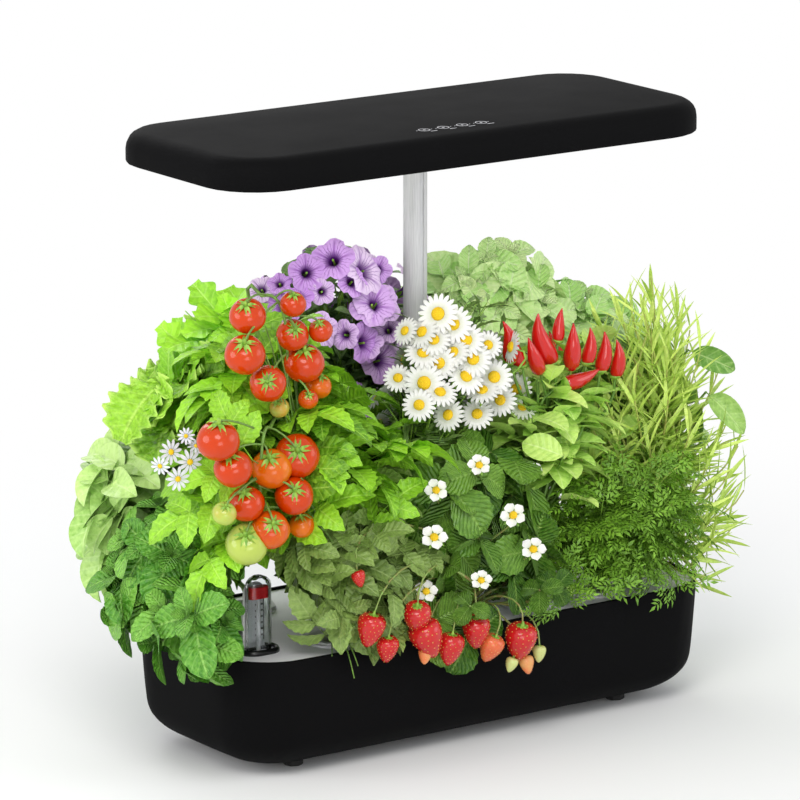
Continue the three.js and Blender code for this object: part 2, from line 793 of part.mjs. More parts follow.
// Power inlet: a barrel socket with its centre pin, drawn with its mouth facing +Z and then laid back
function makeInlet() {
  const profile = [
    [0, -inletLength],
    [inletRadius, -inletLength],
    [inletRadius, seatGap],
    [inletFlangeRadius, seatGap],
    [inletFlangeRadius, inletFlange + seatGap],
    [inletBore, inletFlange + seatGap],
    [inletBore, -inletBoreDepth],
    [inletPinRadius, -inletBoreDepth],
    [inletPinRadius, 0],
    [0, 0],
  ];
  const inlet = part("power_inlet", turned(profile, podSides), blackPlastic(), 0, lampDepth / 2, inletRise);
  inlet.rotation.x = -rightAngle;
  return inlet;
}

// Pump body, with an impeller chamber that opens to the front and an outlet nozzle on top
function makePumpBody() {
  const body = plate(pumpLength, pumpDepth, pumpCorner, pumpHeight);
  const chamberZ = pumpHeight / 2;
  const chamberY = (chamberDepth - pumpDepth - overrun) / 2;
  const chamber = crossBar(chamberRadius, chamberDepth + overrun, tubeSides, 0, chamberY, chamberZ);
  const shaftSeat = crossBar(
    shaftRadius + seatGap,
    2 * shaftSocket,
    smallSides,
    0,
    chamberDepth - pumpDepth / 2,
    chamberZ,
  );
  const nozzleY = bladeLength + runningGap - pumpDepth / 2;
  const nozzle = disc(nozzleRadius, nozzleHeight + pumpHeight / 2, podSides, 0, nozzleY + nozzleRadius, pumpHeight / 2);
  const nozzleCut = disc(nozzleBore, nozzleHeight + pumpHeight, podSides, 0, nozzleY + nozzleRadius, chamberZ);
  return cutAll(body.add(nozzle), [chamber, shaftSeat, nozzleCut]);
}

function makePumpCover() {
  const body = plate(pumpLength, pumpCoverThickness, pumpCoverCorner, pumpHeight);
  const slots = Array.from({ length: intakeSlots }, (_, k) =>
    block(
      intakeSlotWidth,
      pumpCoverThickness + 2 * overrun,
      intakeSlotHeight,
      (k - (intakeSlots - 1) / 2) * intakeSlotPitch,
      0,
      (pumpHeight - intakeSlotHeight) / 2,
    ),
  );
  const seatY = pumpCoverThickness / 2;
  const shaftSeat = crossBar(shaftRadius + seatGap, 2 * intakeDepth, smallSides, 0, seatY, pumpHeight / 2);
  return cutAll(body, [...slots, shaftSeat]);
}

function makeImpeller() {
  const hub = crossBar(impellerHub, impellerLength, podSides);
  const bladeY = (bladeLength - impellerLength) / 2;
  const blades = Array.from({ length: bladeCount / 2 }, (_, k) =>
    solid(
      new THREE.BoxGeometry(2 * impellerRadius, bladeLength, bladeWidth)
        .translate(0, bladeY, 0)
        .rotateY((k / (bladeCount / 2)) * 2 * rightAngle),
    ),
  );
  const bore = crossBar(shaftRadius + seatGap, impellerLength + 2 * overrun, smallSides);
  return joinAll([hub, ...blades]).subtract(bore);
}

function makePump() {
  const pump = new THREE.Group();
  pump.position.set(0, 0, footHeight + tankFloor + seatGap);
  const front = -pumpDepth / 2;
  const coverY = front - seatGap - pumpCoverThickness / 2;
  const impellerY = front + runningGap + impellerLength / 2;
  const shaftBack = front + chamberDepth + shaftSocket - seatGap;
  const shaftFront = front - intakeDepth;
  const shaftLength = shaftBack - shaftFront;
  const shaft = new THREE.CylinderGeometry(shaftRadius, shaftRadius, shaftLength, smallSides);
  pump.add(
    part("pump_body", makePumpBody(), blackPlastic()),
    part("pump_cover", makePumpCover(), blackPlastic(), 0, coverY, 0),
    part("pump_impeller", makeImpeller(), frostedPlastic(), 0, impellerY, pumpHeight / 2),
    part("impeller_shaft", shaft, steel(), 0, (shaftBack + shaftFront) / 2, pumpHeight / 2),
  );
  return pump;
}

// Plants. Each is a stem from its sponge and a few soft clumps. A clump is given by its middle and
// its three half sizes, as shares of the space that the plants fill: foliageReach, foliageDepth and
// foliageTop. The plants that stand in front come first and keep their full shape. The tomato's last
// two clumps are its trusses of fruit, and the rosemary's second one is its tall middle shoot.
const plantShares = [
  {
    name: "plant_tomato",
    pod: 0,
    color: 0x4f8f2f,
    clumpShares: [
      [-0.43, -0.64, 0.41, 0.22, 0.36, 0.18],
      [-0.45, -0.84, 0.27, 0.18, 0.16, 0.11],
      [-0.37, -0.46, 0.66, 0.18, 0.34, 0.19],
      [-0.63, -0.5, 0.6, 0.2, 0.34, 0.15],
      [-0.63, -0.4, 0.85, 0.18, 0.3, 0.12],
      [-0.68, -0.72, 0.86, 0.16, 0.16, 0.13],
      [-0.78, -0.82, 0.62, 0.18, 0.16, 0.15],
    ],
  },
  {
    name: "plant_strawberry",
    pod: 2,
    color: 0x3f7a2a,
    clumpShares: [
      [-0.06, -0.54, 0.43, 0.32, 0.36, 0.2],
      [-0.03, -0.86, 0.25, 0.31, 0.14, 0.11],
    ],
  },
  {
    name: "plant_daisy",
    pod: 1,
    color: 0xe9ead8,
    clumpShares: [
      [-0.15, -0.4, 0.62, 0.16, 0.3, 0.15],
      [0.02, -0.3, 0.76, 0.23, 0.3, 0.16],
    ],
  },
  {
    name: "plant_mint",
    pod: 5,
    color: 0x3f9a3a,
    clumpShares: [
      [-0.81, -0.1, 0.38, 0.19, 0.46, 0.17],
      [-0.87, -0.55, 0.31, 0.13, 0.36, 0.11],
    ],
  },
  {
    name: "plant_parsley",
    pod: 4,
    color: 0x3d7d2c,
    clumpShares: [
      [0.5, -0.52, 0.41, 0.26, 0.4, 0.18],
    ],
  },
  {
    name: "plant_rosemary",
    pod: 6,
    color: 0x8fae5a,
    clumpShares: [
      [0.83, -0.3, 0.41, 0.17, 0.4, 0.15],
      [0.68, -0.34, 0.67, 0.11, 0.22, 0.28],
      [0.56, -0.24, 0.57, 0.12, 0.3, 0.18],
    ],
  },
  {
    name: "plant_chili",
    pod: 3,
    color: 0xb8322a,
    clumpShares: [
      [0.29, -0.38, 0.62, 0.17, 0.32, 0.15],
      [0.37, -0.22, 0.72, 0.2, 0.3, 0.13],
    ],
  },
  {
    name: "plant_petunia",
    pod: 9,
    color: 0x8d6bc4,
    clumpShares: [
      [-0.07, 0.5, 0.56, 0.21, 0.36, 0.24],
      [-0.18, 0.42, 0.84, 0.27, 0.36, 0.16],
    ],
  },
  {
    name: "plant_lemon_balm",
    pod: 10,
    color: 0xa9c99a,
    clumpShares: [
      [0.3, 0.56, 0.52, 0.2, 0.38, 0.22],
      [0.36, 0.56, 0.77, 0.25, 0.4, 0.16],
      [0.72, 0.62, 0.66, 0.22, 0.38, 0.13],
    ],
  },
  {
    name: "plant_basil_left",
    pod: 7,
    color: 0x9ccf7f,
    clumpShares: [
      [-0.55, 0.52, 0.44, 0.2, 0.36, 0.15],
      [-0.81, 0.46, 0.5, 0.19, 0.4, 0.16],
    ],
  },
  {
    name: "plant_lettuce",
    pod: 8,
    color: 0x9bd45a,
    clumpShares: [
      [-0.35, 0.42, 0.5, 0.22, 0.36, 0.2],
      [-0.64, 0.18, 0.74, 0.27, 0.46, 0.15],
      [-0.62, 0.02, 0.88, 0.19, 0.36, 0.1],
    ],
  },
  {
    name: "plant_basil_right",
    pod: 11,
    color: 0x77b04a,
    clumpShares: [
      [0.56, 0.46, 0.48, 0.26, 0.36, 0.14],
      [0.84, 0.12, 0.55, 0.15, 0.42, 0.15],
    ],
  },
];

function clump([x, y, z, spanX, spanY, spanZ], grow) {
  const ball = new THREE.SphereGeometry(1, leafSides, leafBands).rotateX(rightAngle);
  ball.scale(spanX * foliageReach + grow, spanY * foliageDepth + grow, spanZ * foliageTop + grow);
  return solid(ball.translate(x * foliageReach, y * foliageDepth, z * foliageTop));
}

// A round rod between two points
function rod(from, to, radius) {
  const along = new THREE.Vector3().subVectors(to, from);
  const bar = new THREE.CylinderGeometry(radius, radius, along.length(), stemSides);
  const turn = new THREE.Quaternion().setFromUnitVectors(new THREE.Vector3(0, 1, 0), along.clone().normalize());
  const middle = new THREE.Vector3().addVectors(from, to).divideScalar(2);
  return solid(bar.applyQuaternion(turn).translate(middle.x, middle.y, middle.z));
}

// The stem starts upright on the sponge, then leans towards the first clump
function stem(plant, grow) {
  const [podX, podY] = podPlaces()[plant.pod];
  const [x, y, z] = plant.clumpShares[0];
  const foot = spongeTop + seatGap;
  const upright = disc(stemRadius + grow, stemRise, stemSides, podX, podY, foot);
  const bend = new THREE.Vector3(podX, podY, foot + stemRise - stemRadius);
  const crown = new THREE.Vector3(x * foliageReach, y * foliageDepth, z * foliageTop);
  return upright.add(rod(bend, crown, stemRadius + grow));
}

// What the plants grow round: the tank, the pole, the level window and the room that the flap needs
function keepClear() {
  const roundTank = solid(
    loft([
      tankRing(footHeight, tankDraft - foliageGap),
      tankRing(footHeight + keelHeight, tankDraft - foliageGap),
      tankRing(rimHeight, -foliageGap),
      tankRing(lipBottom + basketLip + foliageGap, -foliageGap),
    ]),
  );
  const roundPole = disc(poleRadius + foliageGap, lampUnderside - deckTop, tubeSides, 0, poleY, deckTop);
  const roundSocket = disc(socketFlangeRadius + foliageGap, socketHeight + foliageGap, tubeSides, 0, poleY, deckTop);
  const roundWindow = plate(
    windowWidth + 2 * (windowFlange + foliageGap),
    windowDepth + 2 * (windowFlange + foliageGap),
    windowFlange,
    windowHeight + 2 * foliageGap,
    windowX,
    windowY,
    deckTop,
  );
  const flapReach = flapEnd + flapLip;
  const flapWidth = flapDepth + 2 * flapRoom;
  const flapHeight = flapReach + hingeRise + flapRoom;
  const flapFront = flapReach + hingeRadius + flapRoom;
  const flapBack = flapReach * Math.sin(flapLean) + hingeRise + flapThickness + flapRoom;
  const flapX = hingeX + (flapFront - flapBack) / 2;
  const roundFlap = block(flapFront + flapBack, flapWidth, flapHeight, flapX, portY, deckTop);
  return [roundTank, roundPole, roundSocket, roundWindow, roundFlap];
}

function makePlants() {
  const crowns = (plant, grow) => joinAll(plant.clumpShares.map((shares) => clump(shares, grow)));
  const obstacles = keepClear();
  return plantShares.map((plant, k) => {
    const otherStems = plantShares.filter((other) => other !== plant).map((other) => stem(other, foliageGap));
    const earlier = plantShares.slice(0, k).map((other) => crowns(other, foliageGap));
    const crown = cutAll(crowns(plant, 0), [...obstacles, ...otherStems, ...earlier]);
    return part(plant.name, crown.add(stem(plant, 0)), leaf(plant.color));
  });
}

// The whole garden
const podNames = podPlaces().map((_, k) => String(k + 1).padStart(2, "0"));
const pods = podPlaces().flatMap(([x, y], k) => [
  makeBasket(`basket_${podNames[k]}`, x, y),
  makeSponge(`sponge_${podNames[k]}`, x, y),
]);

const lamp = new THREE.Group();
lamp.position.set(0, poleY, lampUnderside);
lamp.add(
  makeLampCover(),
  makeLampBase(),
  makeDiffuser(),
  makeLedBoard(),
  makeTouchBoard(),
  makeInlet(),
  makeInnerPole(),
);

const garden = new THREE.Group();
garden.add(makeTank(), makeDeck(), makeWindow(), makeFloat(), makeFlap(), makeFlapPin(), makePump());
garden.add(makeSocket(), makeOuterPole(), makeBushing(), lamp);
garden.add(...makeFeet(), ...pods, ...makePlants());

export default garden;
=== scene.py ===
# %% [markdown]
# # A countertop hydroponic garden
# Twelve planted pods stand in a black water tank, under a grow light on a telescopic pole. The rigid
# pieces come ready made from the frame, at their real size, and keep their places. What is left to do
# here is their finish, some fine trim, and the twelve plants, which are the larger part of the work.
# All sizes below are in millimetres, and each mesh is turned into metres when it is made.

# %% Load the frame
import json
import math

import bmesh
import bpy
import numpy as np
from mathutils import Euler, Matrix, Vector
from mathutils.bvhtree import BVHTree


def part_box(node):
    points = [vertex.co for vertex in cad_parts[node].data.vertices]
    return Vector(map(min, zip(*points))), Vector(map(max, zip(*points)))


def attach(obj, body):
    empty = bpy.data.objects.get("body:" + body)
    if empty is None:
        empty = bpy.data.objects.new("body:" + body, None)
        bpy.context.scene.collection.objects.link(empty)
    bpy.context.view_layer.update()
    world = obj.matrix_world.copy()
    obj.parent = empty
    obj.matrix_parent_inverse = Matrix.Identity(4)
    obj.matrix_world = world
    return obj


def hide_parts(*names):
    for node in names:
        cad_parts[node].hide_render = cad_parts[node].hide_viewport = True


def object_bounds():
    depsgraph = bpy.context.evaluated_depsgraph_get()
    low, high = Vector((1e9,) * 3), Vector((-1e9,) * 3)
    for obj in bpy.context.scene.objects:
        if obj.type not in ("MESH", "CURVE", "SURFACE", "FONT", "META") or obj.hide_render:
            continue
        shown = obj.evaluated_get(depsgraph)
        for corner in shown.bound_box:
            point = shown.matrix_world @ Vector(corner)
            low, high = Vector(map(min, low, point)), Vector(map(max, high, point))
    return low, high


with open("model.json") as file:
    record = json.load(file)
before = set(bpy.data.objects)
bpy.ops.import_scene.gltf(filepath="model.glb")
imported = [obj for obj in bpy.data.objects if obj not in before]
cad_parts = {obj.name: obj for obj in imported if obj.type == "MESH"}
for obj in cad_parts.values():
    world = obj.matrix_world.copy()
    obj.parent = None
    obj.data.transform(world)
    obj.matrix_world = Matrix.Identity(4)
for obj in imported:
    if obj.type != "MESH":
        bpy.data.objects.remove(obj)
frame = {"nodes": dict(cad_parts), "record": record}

MM = 0.001
CAD_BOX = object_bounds()


def box(node):
    """The low and the high corner of a node's box, in millimetres."""
    return [np.array(corner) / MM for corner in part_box(node)]


print("frame:", len(frame["nodes"]), "nodes, box", [round(s / MM) for s in CAD_BOX[1] - CAD_BOX[0]], "mm")

# %% [markdown]
# ## The camera
# A product photo like this one is taken from far away with a long lens, so that the long edges stay
# almost parallel. The camera is given by what it looks at, from which side and from how far.

# %% Camera
TARGET = Vector((-18.8, 0, 229.4)) * MM
DISTANCE = 3955 * MM
AZIMUTH = math.radians(-35.26)
ELEVATION = math.radians(13.387)
LENS = 259.35
SENSOR = 36
IMAGE = 800

towards_camera = Vector((
    math.sin(AZIMUTH) * math.cos(ELEVATION),
    -math.cos(AZIMUTH) * math.cos(ELEVATION),
    math.sin(ELEVATION),
))


def stand(name, data, place=(0, 0, 0), towards=None):
    """Puts an object into the scene at a place in metres, turned so that it looks along a direction."""
    thing = bpy.data.objects.new(name, data)
    bpy.context.scene.collection.objects.link(thing)
    thing.location = place
    if towards is not None:
        thing.rotation_mode = "QUATERNION"
        thing.rotation_quaternion = towards.to_track_quat("-Z", "Y")
    return thing


camera = stand("camera", bpy.data.cameras.new("camera"), TARGET + towards_camera * DISTANCE, -towards_camera)
camera.data.lens = LENS
camera.data.sensor_width = SENSOR
bpy.context.scene.camera = camera

EYE = np.array(camera.location) / MM
RIGHT, UP, BACK = (np.array(camera.rotation_quaternion @ Vector(axis)) for axis in np.eye(3).tolist())
FOCAL = IMAGE * LENS / SENSOR


def pixel_ray(u, v):
    """The direction from the camera through pixel (u, v)."""
    ray = RIGHT * (u - IMAGE / 2) / FOCAL - UP * (v - IMAGE / 2) / FOCAL - BACK
    return ray / np.linalg.norm(ray)


def at_pixel(u, v, depth):
    """The point that the camera sees at pixel (u, v) in the upright plane y = depth."""
    ray = pixel_ray(u, v)
    return EYE + ray * (depth - EYE[1]) / ray[1]


def to_pixels(points):
    """Where the camera sees these points, as an array of (u, v), and how far away they are."""
    offset = np.asarray(points) - EYE
    away = -offset @ BACK
    u = IMAGE / 2 + FOCAL * (offset @ RIGHT) / away
    v = IMAGE / 2 - FOCAL * (offset @ UP) / away
    return u, v, away


print("camera at", [round(x) for x in EYE], "mm, lens", LENS)

# %% [markdown]
# ## Helpers for node trees
# Every finish and every growing plant below is a node tree. Building one takes the same three steps
# again and again: make a node, set its inputs, link it. One helper does all three, and finds a socket
# by its name among those that the node really uses in its present mode. A node's output is handed on
# as a Value, with which the trees below do their sums in plain arithmetic.

# %% Helpers for node trees
class Value:
    """An output of a node. Arithmetic with it adds the node that does the arithmetic."""

    def __init__(self, tree, socket):
        self.tree, self.socket = tree, socket

    def __add__(self, other):
        return calc(self.tree, "ADD", self, other)

    def __sub__(self, other):
        return calc(self.tree, "SUBTRACT", self, other)

    def __rsub__(self, other):
        return calc(self.tree, "SUBTRACT", other, self)

    def __mul__(self, other):
        return calc(self.tree, "MULTIPLY", self, other)

    def __abs__(self):
        return calc(self.tree, "ABSOLUTE", self)

    def span(self, low, high, to_low=0.0, to_high=1.0):
        """The value, stretched from one range to another and held at its ends."""
        inputs = {"Value": self, "From Min": low, "From Max": high, "To Min": to_low, "To Max": to_high}
        return out(self.tree, "ShaderNodeMapRange", inputs)

    def axes(self):
        """The parts of a vector along x, y and z."""
        return outs(self.tree, "ShaderNodeSeparateXYZ", {0: self}).values()


def live(sockets, key):
    """The socket with that name or number among those in use."""
    in_use = [s for s in sockets if s.enabled]
    return in_use[key] if isinstance(key, int) else next(s for s in in_use if s.name == key)


def connect(tree, value, socket):
    """Links a value to an input, or sets the input to a plain number, colour or object."""
    if isinstance(value, Value):
        tree.links.new(value.socket, socket)
    elif value is not None:
        socket.default_value = value


def put(tree, kind, inputs=None, **settings):
    """Adds a node and sets its properties and inputs."""
    node = tree.nodes.new(kind)
    for key, value in settings.items():
        setattr(node, key, value)
    for key, value in (inputs or {}).items():
        connect(tree, value, live(node.inputs, key))
    return node


def outs(tree, kind, inputs=None, **settings):
    """Adds a node and gives its outputs by name."""
    sockets = put(tree, kind, inputs, **settings).outputs
    return {s.name: Value(tree, s) for s in sockets if s.enabled and s.name}


def out(tree, kind, inputs=None, **settings):
    """Adds a node and gives its first output."""
    return next(iter(outs(tree, kind, inputs, **settings).values()))


def calc(tree, operation, *values, kind="ShaderNodeMath"):
    """One arithmetic step on values or plain numbers."""
    return out(tree, kind, dict(enumerate(values)), operation=operation)


def srgb(red, green, blue):
    """A colour as it is seen on screen, 0 to 255, as the linear colour that a shader wants."""
    shares = np.array([red, green, blue]) / 255
    return tuple(np.where(shares < 0.04045, shares / 12.92, ((shares + 0.055) / 1.055) ** 2.4).tolist())


# %% [markdown]
# ## Floor, backdrop and light
# The photo has a plain white ground. The lamps are kept at the level at which a colour renders about
# as it is written, so the white comes from the floor and the world themselves: both look white to the
# camera, to glossy surfaces and through glass, while the light that they send out stays soft. The
# floor keeps a faint shadow where the tank stands.

# %% Floor and backdrop
FLOOR_HALF = 6000
FADE_START = 330
FADE_END = 900
FLOOR_COLOR = (0.95, 0.95, 0.95)
WORLD_COLOR = (0.97, 0.985, 1.0)
WORLD_STRENGTH = 0.62


def sees_background(tree):
    """1 for rays from the camera, from glossy surfaces and through glass."""
    path = outs(tree, "ShaderNodeLightPath")
    seen = calc(tree, "MAXIMUM", path["Is Camera Ray"], path["Is Glossy Ray"])
    return calc(tree, "MAXIMUM", seen, path["Is Transmission Ray"])


def whiten(tree, share, shader, glow, output):
    """Mixes plain white light over the shader by a share, in front of the tree's output."""
    white = out(tree, glow, {"Color": (1, 1, 1, 1), "Strength": 1.0})
    plain = Value(tree, shader.outputs[0])
    mixed = out(tree, "ShaderNodeMixShader", {0: share, 1: plain, 2: white})
    connect(tree, mixed, tree.nodes[output].inputs["Surface"])


corners = [(x * FLOOR_HALF * MM, y * FLOOR_HALF * MM, 0) for x, y in ((-1, -1), (1, -1), (1, 1), (-1, 1))]
floor_mesh = bpy.data.meshes.new("floor")
floor_mesh.from_pydata(corners, [], [(0, 1, 2, 3)])
stand("floor", floor_mesh)

floor_finish = bpy.data.materials.new("floor_white")
floor_finish.use_nodes = True
tree = floor_finish.node_tree
shader = tree.nodes["Principled BSDF"]
shader.inputs["Base Color"].default_value = (*FLOOR_COLOR, 1)
shader.inputs["Roughness"].default_value = 0.9
shader.inputs["Specular IOR Level"].default_value = 0.0
place = outs(tree, "ShaderNodeTexCoord")["Object"]
fade = out(tree, "ShaderNodeMapRange", {
    "Value": calc(tree, "LENGTH", place, kind="ShaderNodeVectorMath"),
    "From Min": FADE_START * MM,
    "From Max": FADE_END * MM,
}, interpolation_type="SMOOTHSTEP")
whiten(tree, fade * sees_background(tree), shader, "ShaderNodeEmission", "Material Output")
floor_mesh.materials.append(floor_finish)

world = bpy.data.worlds.new("soft_room")
bpy.context.scene.world = world
world.use_nodes = True
tree = world.node_tree
room = tree.nodes["Background"]
room.inputs["Color"].default_value = (*WORLD_COLOR, 1)
room.inputs["Strength"].default_value = WORLD_STRENGTH
whiten(tree, sees_background(tree), room, "ShaderNodeBackground", "World Output")
bpy.context.scene.view_settings.view_transform = "Standard"

# %% [markdown]
# Five large round lamps stand about the garden. The key light comes from the upper left.

# %% Lamps
LAMPS = {
    "key_top_left": dict(place=(-1100, -1300, 1700), size=1100, power=21, color=(1.0, 0.98, 0.95)),
    "fill_right": dict(place=(1500, -1500, 900), size=1300, power=9, color=(0.95, 0.98, 1.0)),
    "rim_back": dict(place=(300, 1800, 1500), size=1200, power=10, color=(1.0, 1.0, 1.0)),
    "front_low": dict(place=(-900, -1900, 260), size=1000, power=9, color=(1.0, 1.0, 0.98)),
    "side_left": dict(place=(-1900, 300, 700), size=1100, power=12, color=(1.0, 1.0, 1.0)),
}
LAMP_AIM = Vector((0, 0, 200)) * MM

for name, lamp in LAMPS.items():
    light = bpy.data.lights.new(name, "AREA")
    light.shape = "DISK"
    light.size = lamp["size"] * MM
    light.energy = lamp["power"]
    light.color = lamp["color"]
    place = Vector(lamp["place"]) * MM
    stand(name, light, place, LAMP_AIM - place)
print("lamps:", ", ".join(LAMPS))

# %% [markdown]
# ## Finishes of the rigid pieces
# Moulded plastic is never one flat colour: the tool leaves a fine grain, the gloss wanders a little,
# and faint dust lies in the colour. Each finish starts from the plain shader and adds what its real
# surface shows, with textures that read Object coordinates, so that they stay put on the piece.

# %% Finish helpers
def new_finish(name, color, roughness, **plain):
    """A material with its colour and roughness set, and other plain values by socket name."""
    material = bpy.data.materials.new(name)
    material.use_nodes = True
    shader = material.node_tree.nodes["Principled BSDF"]
    shader.inputs["Base Color"].default_value = (*color, 1)
    shader.inputs["Roughness"].default_value = roughness
    for key, value in plain.items():
        shader.inputs[key.replace("_", " ")].default_value = value
    return material, material.node_tree, shader


def object_place(tree, stretch=(1, 1, 1)):
    """Object coordinates, stretched by a factor on each axis."""
    place = outs(tree, "ShaderNodeTexCoord")["Object"]
    return out(tree, "ShaderNodeMapping", {"Vector": place, "Scale": stretch})


def grain(tree, size, detail=3.0, stretch=(1, 1, 1)):
    """Noise whose features are about size millimetres across."""
    place = object_place(tree, stretch)
    inputs = {"Vector": place, "Scale": 1 / (size * MM), "Detail": detail, "Roughness": 0.55}
    return out(tree, "ShaderNodeTexNoise", inputs)


def cells(tree, size):
    """The distance to the middle of round cells of about that size in millimetres."""
    return out(tree, "ShaderNodeTexVoronoi", {"Vector": object_place(tree), "Scale": 1 / (size * MM)})


def mix(share, first, second, blend_type="MIX"):
    """Two colours mixed by a value; each is a plain colour or a value."""
    inputs = {"Factor": share}
    for key, color in (("A", first), ("B", second)):
        inputs[key] = (*color, 1) if isinstance(color, tuple) else color
    return out(share.tree, "ShaderNodeMix", inputs, data_type="RGBA", blend_type=blend_type)


def wear(shader, color=None, gloss=None, height=None, depth=0.0):
    """Links what varies over the surface: colour, roughness, and fine relief of a depth in millimetres."""
    if height is not None:
        inputs = {"Height": height, "Distance": depth * MM, "Strength": 1.0}
        height = out(height.tree, "ShaderNodeBump", inputs)
    for name, value in (("Base Color", color), ("Roughness", gloss), ("Normal", height)):
        if value is not None:
            connect(value.tree, value, shader.inputs[name])


# %% [markdown]
# One function for each kind of surface, and one table for the finish of each material slot.

# %% Plastics, metals and foam
def moulded(name, color, worn, roughness, grain_depth=0.03, **plain):
    """Moulded plastic: fine grain, wandering gloss and faint dust or polish in the colour."""
    material, tree, shader = new_finish(name, color, roughness, **plain)
    cloud = grain(tree, 60, detail=4)
    dust = cloud.span(0.4, 0.7) * grain(tree, 1.2, detail=2).span(0.45, 0.75)
    gloss = cloud.span(0.3, 0.7, roughness - 0.03, roughness + 0.04)
    wear(shader, mix(dust, color, worn), gloss, grain(tree, 0.5, detail=2), grain_depth)
    return material


def brushed(name, color, roughness, along=(1, 1, 0.03), metallic=1.0):
    """Extruded or drawn metal, with fine lines that run along one axis."""
    material, tree, shader = new_finish(name, color, roughness, Metallic=metallic)
    lines = grain(tree, 0.5, detail=2, stretch=along)
    darker = tuple(c * 0.82 for c in color)
    gloss = grain(tree, 30, detail=3).span(0.3, 0.7, roughness - 0.06, roughness + 0.08)
    wear(shader, mix(lines.span(0.35, 0.65), darker, color), gloss, lines, 0.01)
    return material


def two_tone(name, upper, lower, height, roughness):
    """Plastic in two colours, which meet at a height in metres in the piece's own coordinates."""
    material, tree, shader = new_finish(name, upper, roughness)
    _, _, level = object_place(tree).axes()
    color = mix(calc(tree, "GREATER_THAN", level, height), lower, upper)
    shade = grain(tree, 5).span(0.35, 0.65, 0.0, 0.25)
    color = mix(shade, color, (0.75, 0.75, 0.75), blend_type="MULTIPLY")
    wear(shader, color, height=grain(tree, 0.6, detail=2), depth=0.02)
    return material


def foam(name, color, deep):
    """Open foam: round pores, with painted shade deep in their hollows."""
    material, tree, shader = new_finish(name, color, 0.95)
    depth = cells(tree, 1.4).span(0.15, 0.6)
    # the deep colour is painted shade in each pore's hollow, where the bump also sinks
    wear(shader, mix(depth, deep, color), height=depth, depth=0.5)
    return material


def clear_plastic(name, tint, roughness):
    """Clear moulded plastic with a faint haze and a few fine scratches."""
    material, tree, shader = new_finish(name, tint, roughness, Transmission_Weight=1.0, IOR=1.46)
    haze = grain(tree, 9, detail=3).span(0.35, 0.75, roughness, roughness + 0.06)
    scratch = grain(tree, 0.6, detail=2, stretch=(1, 1, 0.12))
    wear(shader, gloss=haze, height=scratch, depth=0.008)
    return material


def circuit_board(name, color, copper):
    """A board whose copper shows faintly through its coat, as lines of two directions."""
    material, tree, shader = new_finish(name, color, 0.45)
    tracks = out(tree, "ShaderNodeTexBrick", {
        "Vector": object_place(tree),
        "Scale": 1 / (9 * MM),
        "Mortar Size": 0.06,
        "Color1": (0, 0, 0, 1),
        "Color2": (0, 0, 0, 1),
        "Mortar": (1, 1, 1, 1),
    })
    share = tracks * grain(tree, 14).span(0.4, 0.6)
    wear(shader, mix(share, color, copper), height=tracks, depth=0.05)
    return material


FLOAT_HEAD = 8.2 * MM
float_top = max(vertex.co.z for vertex in frame["nodes"]["level_float"].data.vertices)

FINISHES = {
    "black_shell": moulded("black_shell", srgb(9, 9, 10), srgb(16, 16, 18), 0.7, Specular_IOR_Level=0.05),
    "pale_deck": moulded("pale_deck", srgb(242, 240, 247), srgb(224, 222, 230), 0.45),
    "basket_plastic": moulded("basket_plastic", srgb(214, 214, 217), srgb(192, 192, 194), 0.55),
    # the sponge's second colour is painted shade inside its pores
    "sponge_foam": foam("sponge_foam", srgb(112, 88, 66), srgb(44, 32, 23)),
    "clear_window": clear_plastic("clear_window", srgb(246, 249, 250), 0.04),
    "float_red": two_tone(
        "float_red", srgb(214, 34, 44), srgb(206, 208, 210), float_top - FLOAT_HEAD, 0.3,
    ),
    "pole_aluminium": brushed("pole_aluminium", srgb(220, 220, 223), 0.45, metallic=0.1),
    "frosted_plastic": moulded("frosted_plastic", srgb(240, 240, 236), srgb(226, 226, 222), 0.5),
    "board_white": circuit_board("board_white", srgb(238, 237, 230), srgb(206, 196, 178)),
    "board_green": circuit_board("board_green", srgb(30, 88, 58), srgb(96, 132, 70)),
    "pin_steel": brushed("pin_steel", srgb(190, 192, 196), 0.25, along=(1, 0.05, 1)),
    "foot_rubber": moulded("foot_rubber", srgb(24, 24, 24), srgb(52, 51, 49), 0.85, grain_depth=0.08),
}

# %% [markdown]
# ## Smooth shading of the rigid pieces
# The frame's meshes are loose triangles with flat faces. A shell looks moulded once its gentle edges
# are shaded smooth and its sharp ones stay sharp. Setting that by hand for forty-eight meshes would
# change them, so a small Geometry Nodes tree does it as a modifier: it merges the corners and shades
# smooth wherever two faces meet at less than a set angle. The tank's keel and corners are so large that
# their facets show at the outline, so there the tree also rounds them, with the sharp edges held.

# %% Smooth by angle
def new_tree(name, sockets):
    """A Geometry Nodes tree and its inputs by name; sockets gives each one's type and default."""
    tree = bpy.data.node_groups.new(name, "GeometryNodeTree")
    tree.interface.new_socket(name="Geometry", in_out="INPUT", socket_type="NodeSocketGeometry")
    for key, (kind, default) in sockets.items():
        socket = tree.interface.new_socket(name=key, in_out="INPUT", socket_type="NodeSocket" + kind)
        if default is not None:
            socket.default_value = default
    tree.interface.new_socket(name="Geometry", in_out="OUTPUT", socket_type="NodeSocketGeometry")
    return tree, outs(tree, "NodeGroupInput")


def give(tree, shape):
    """The shape as the tree's result."""
    put(tree, "NodeGroupOutput", {"Geometry": shape})


def set_inputs(modifier, values):
    """Sets a modifier's inputs by their identifiers, which their names stand for in the tree."""
    for item in modifier.node_group.interface.items_tree:
        if item.in_out == "INPUT" and item.name in values:
            modifier[item.identifier] = values[item.name]


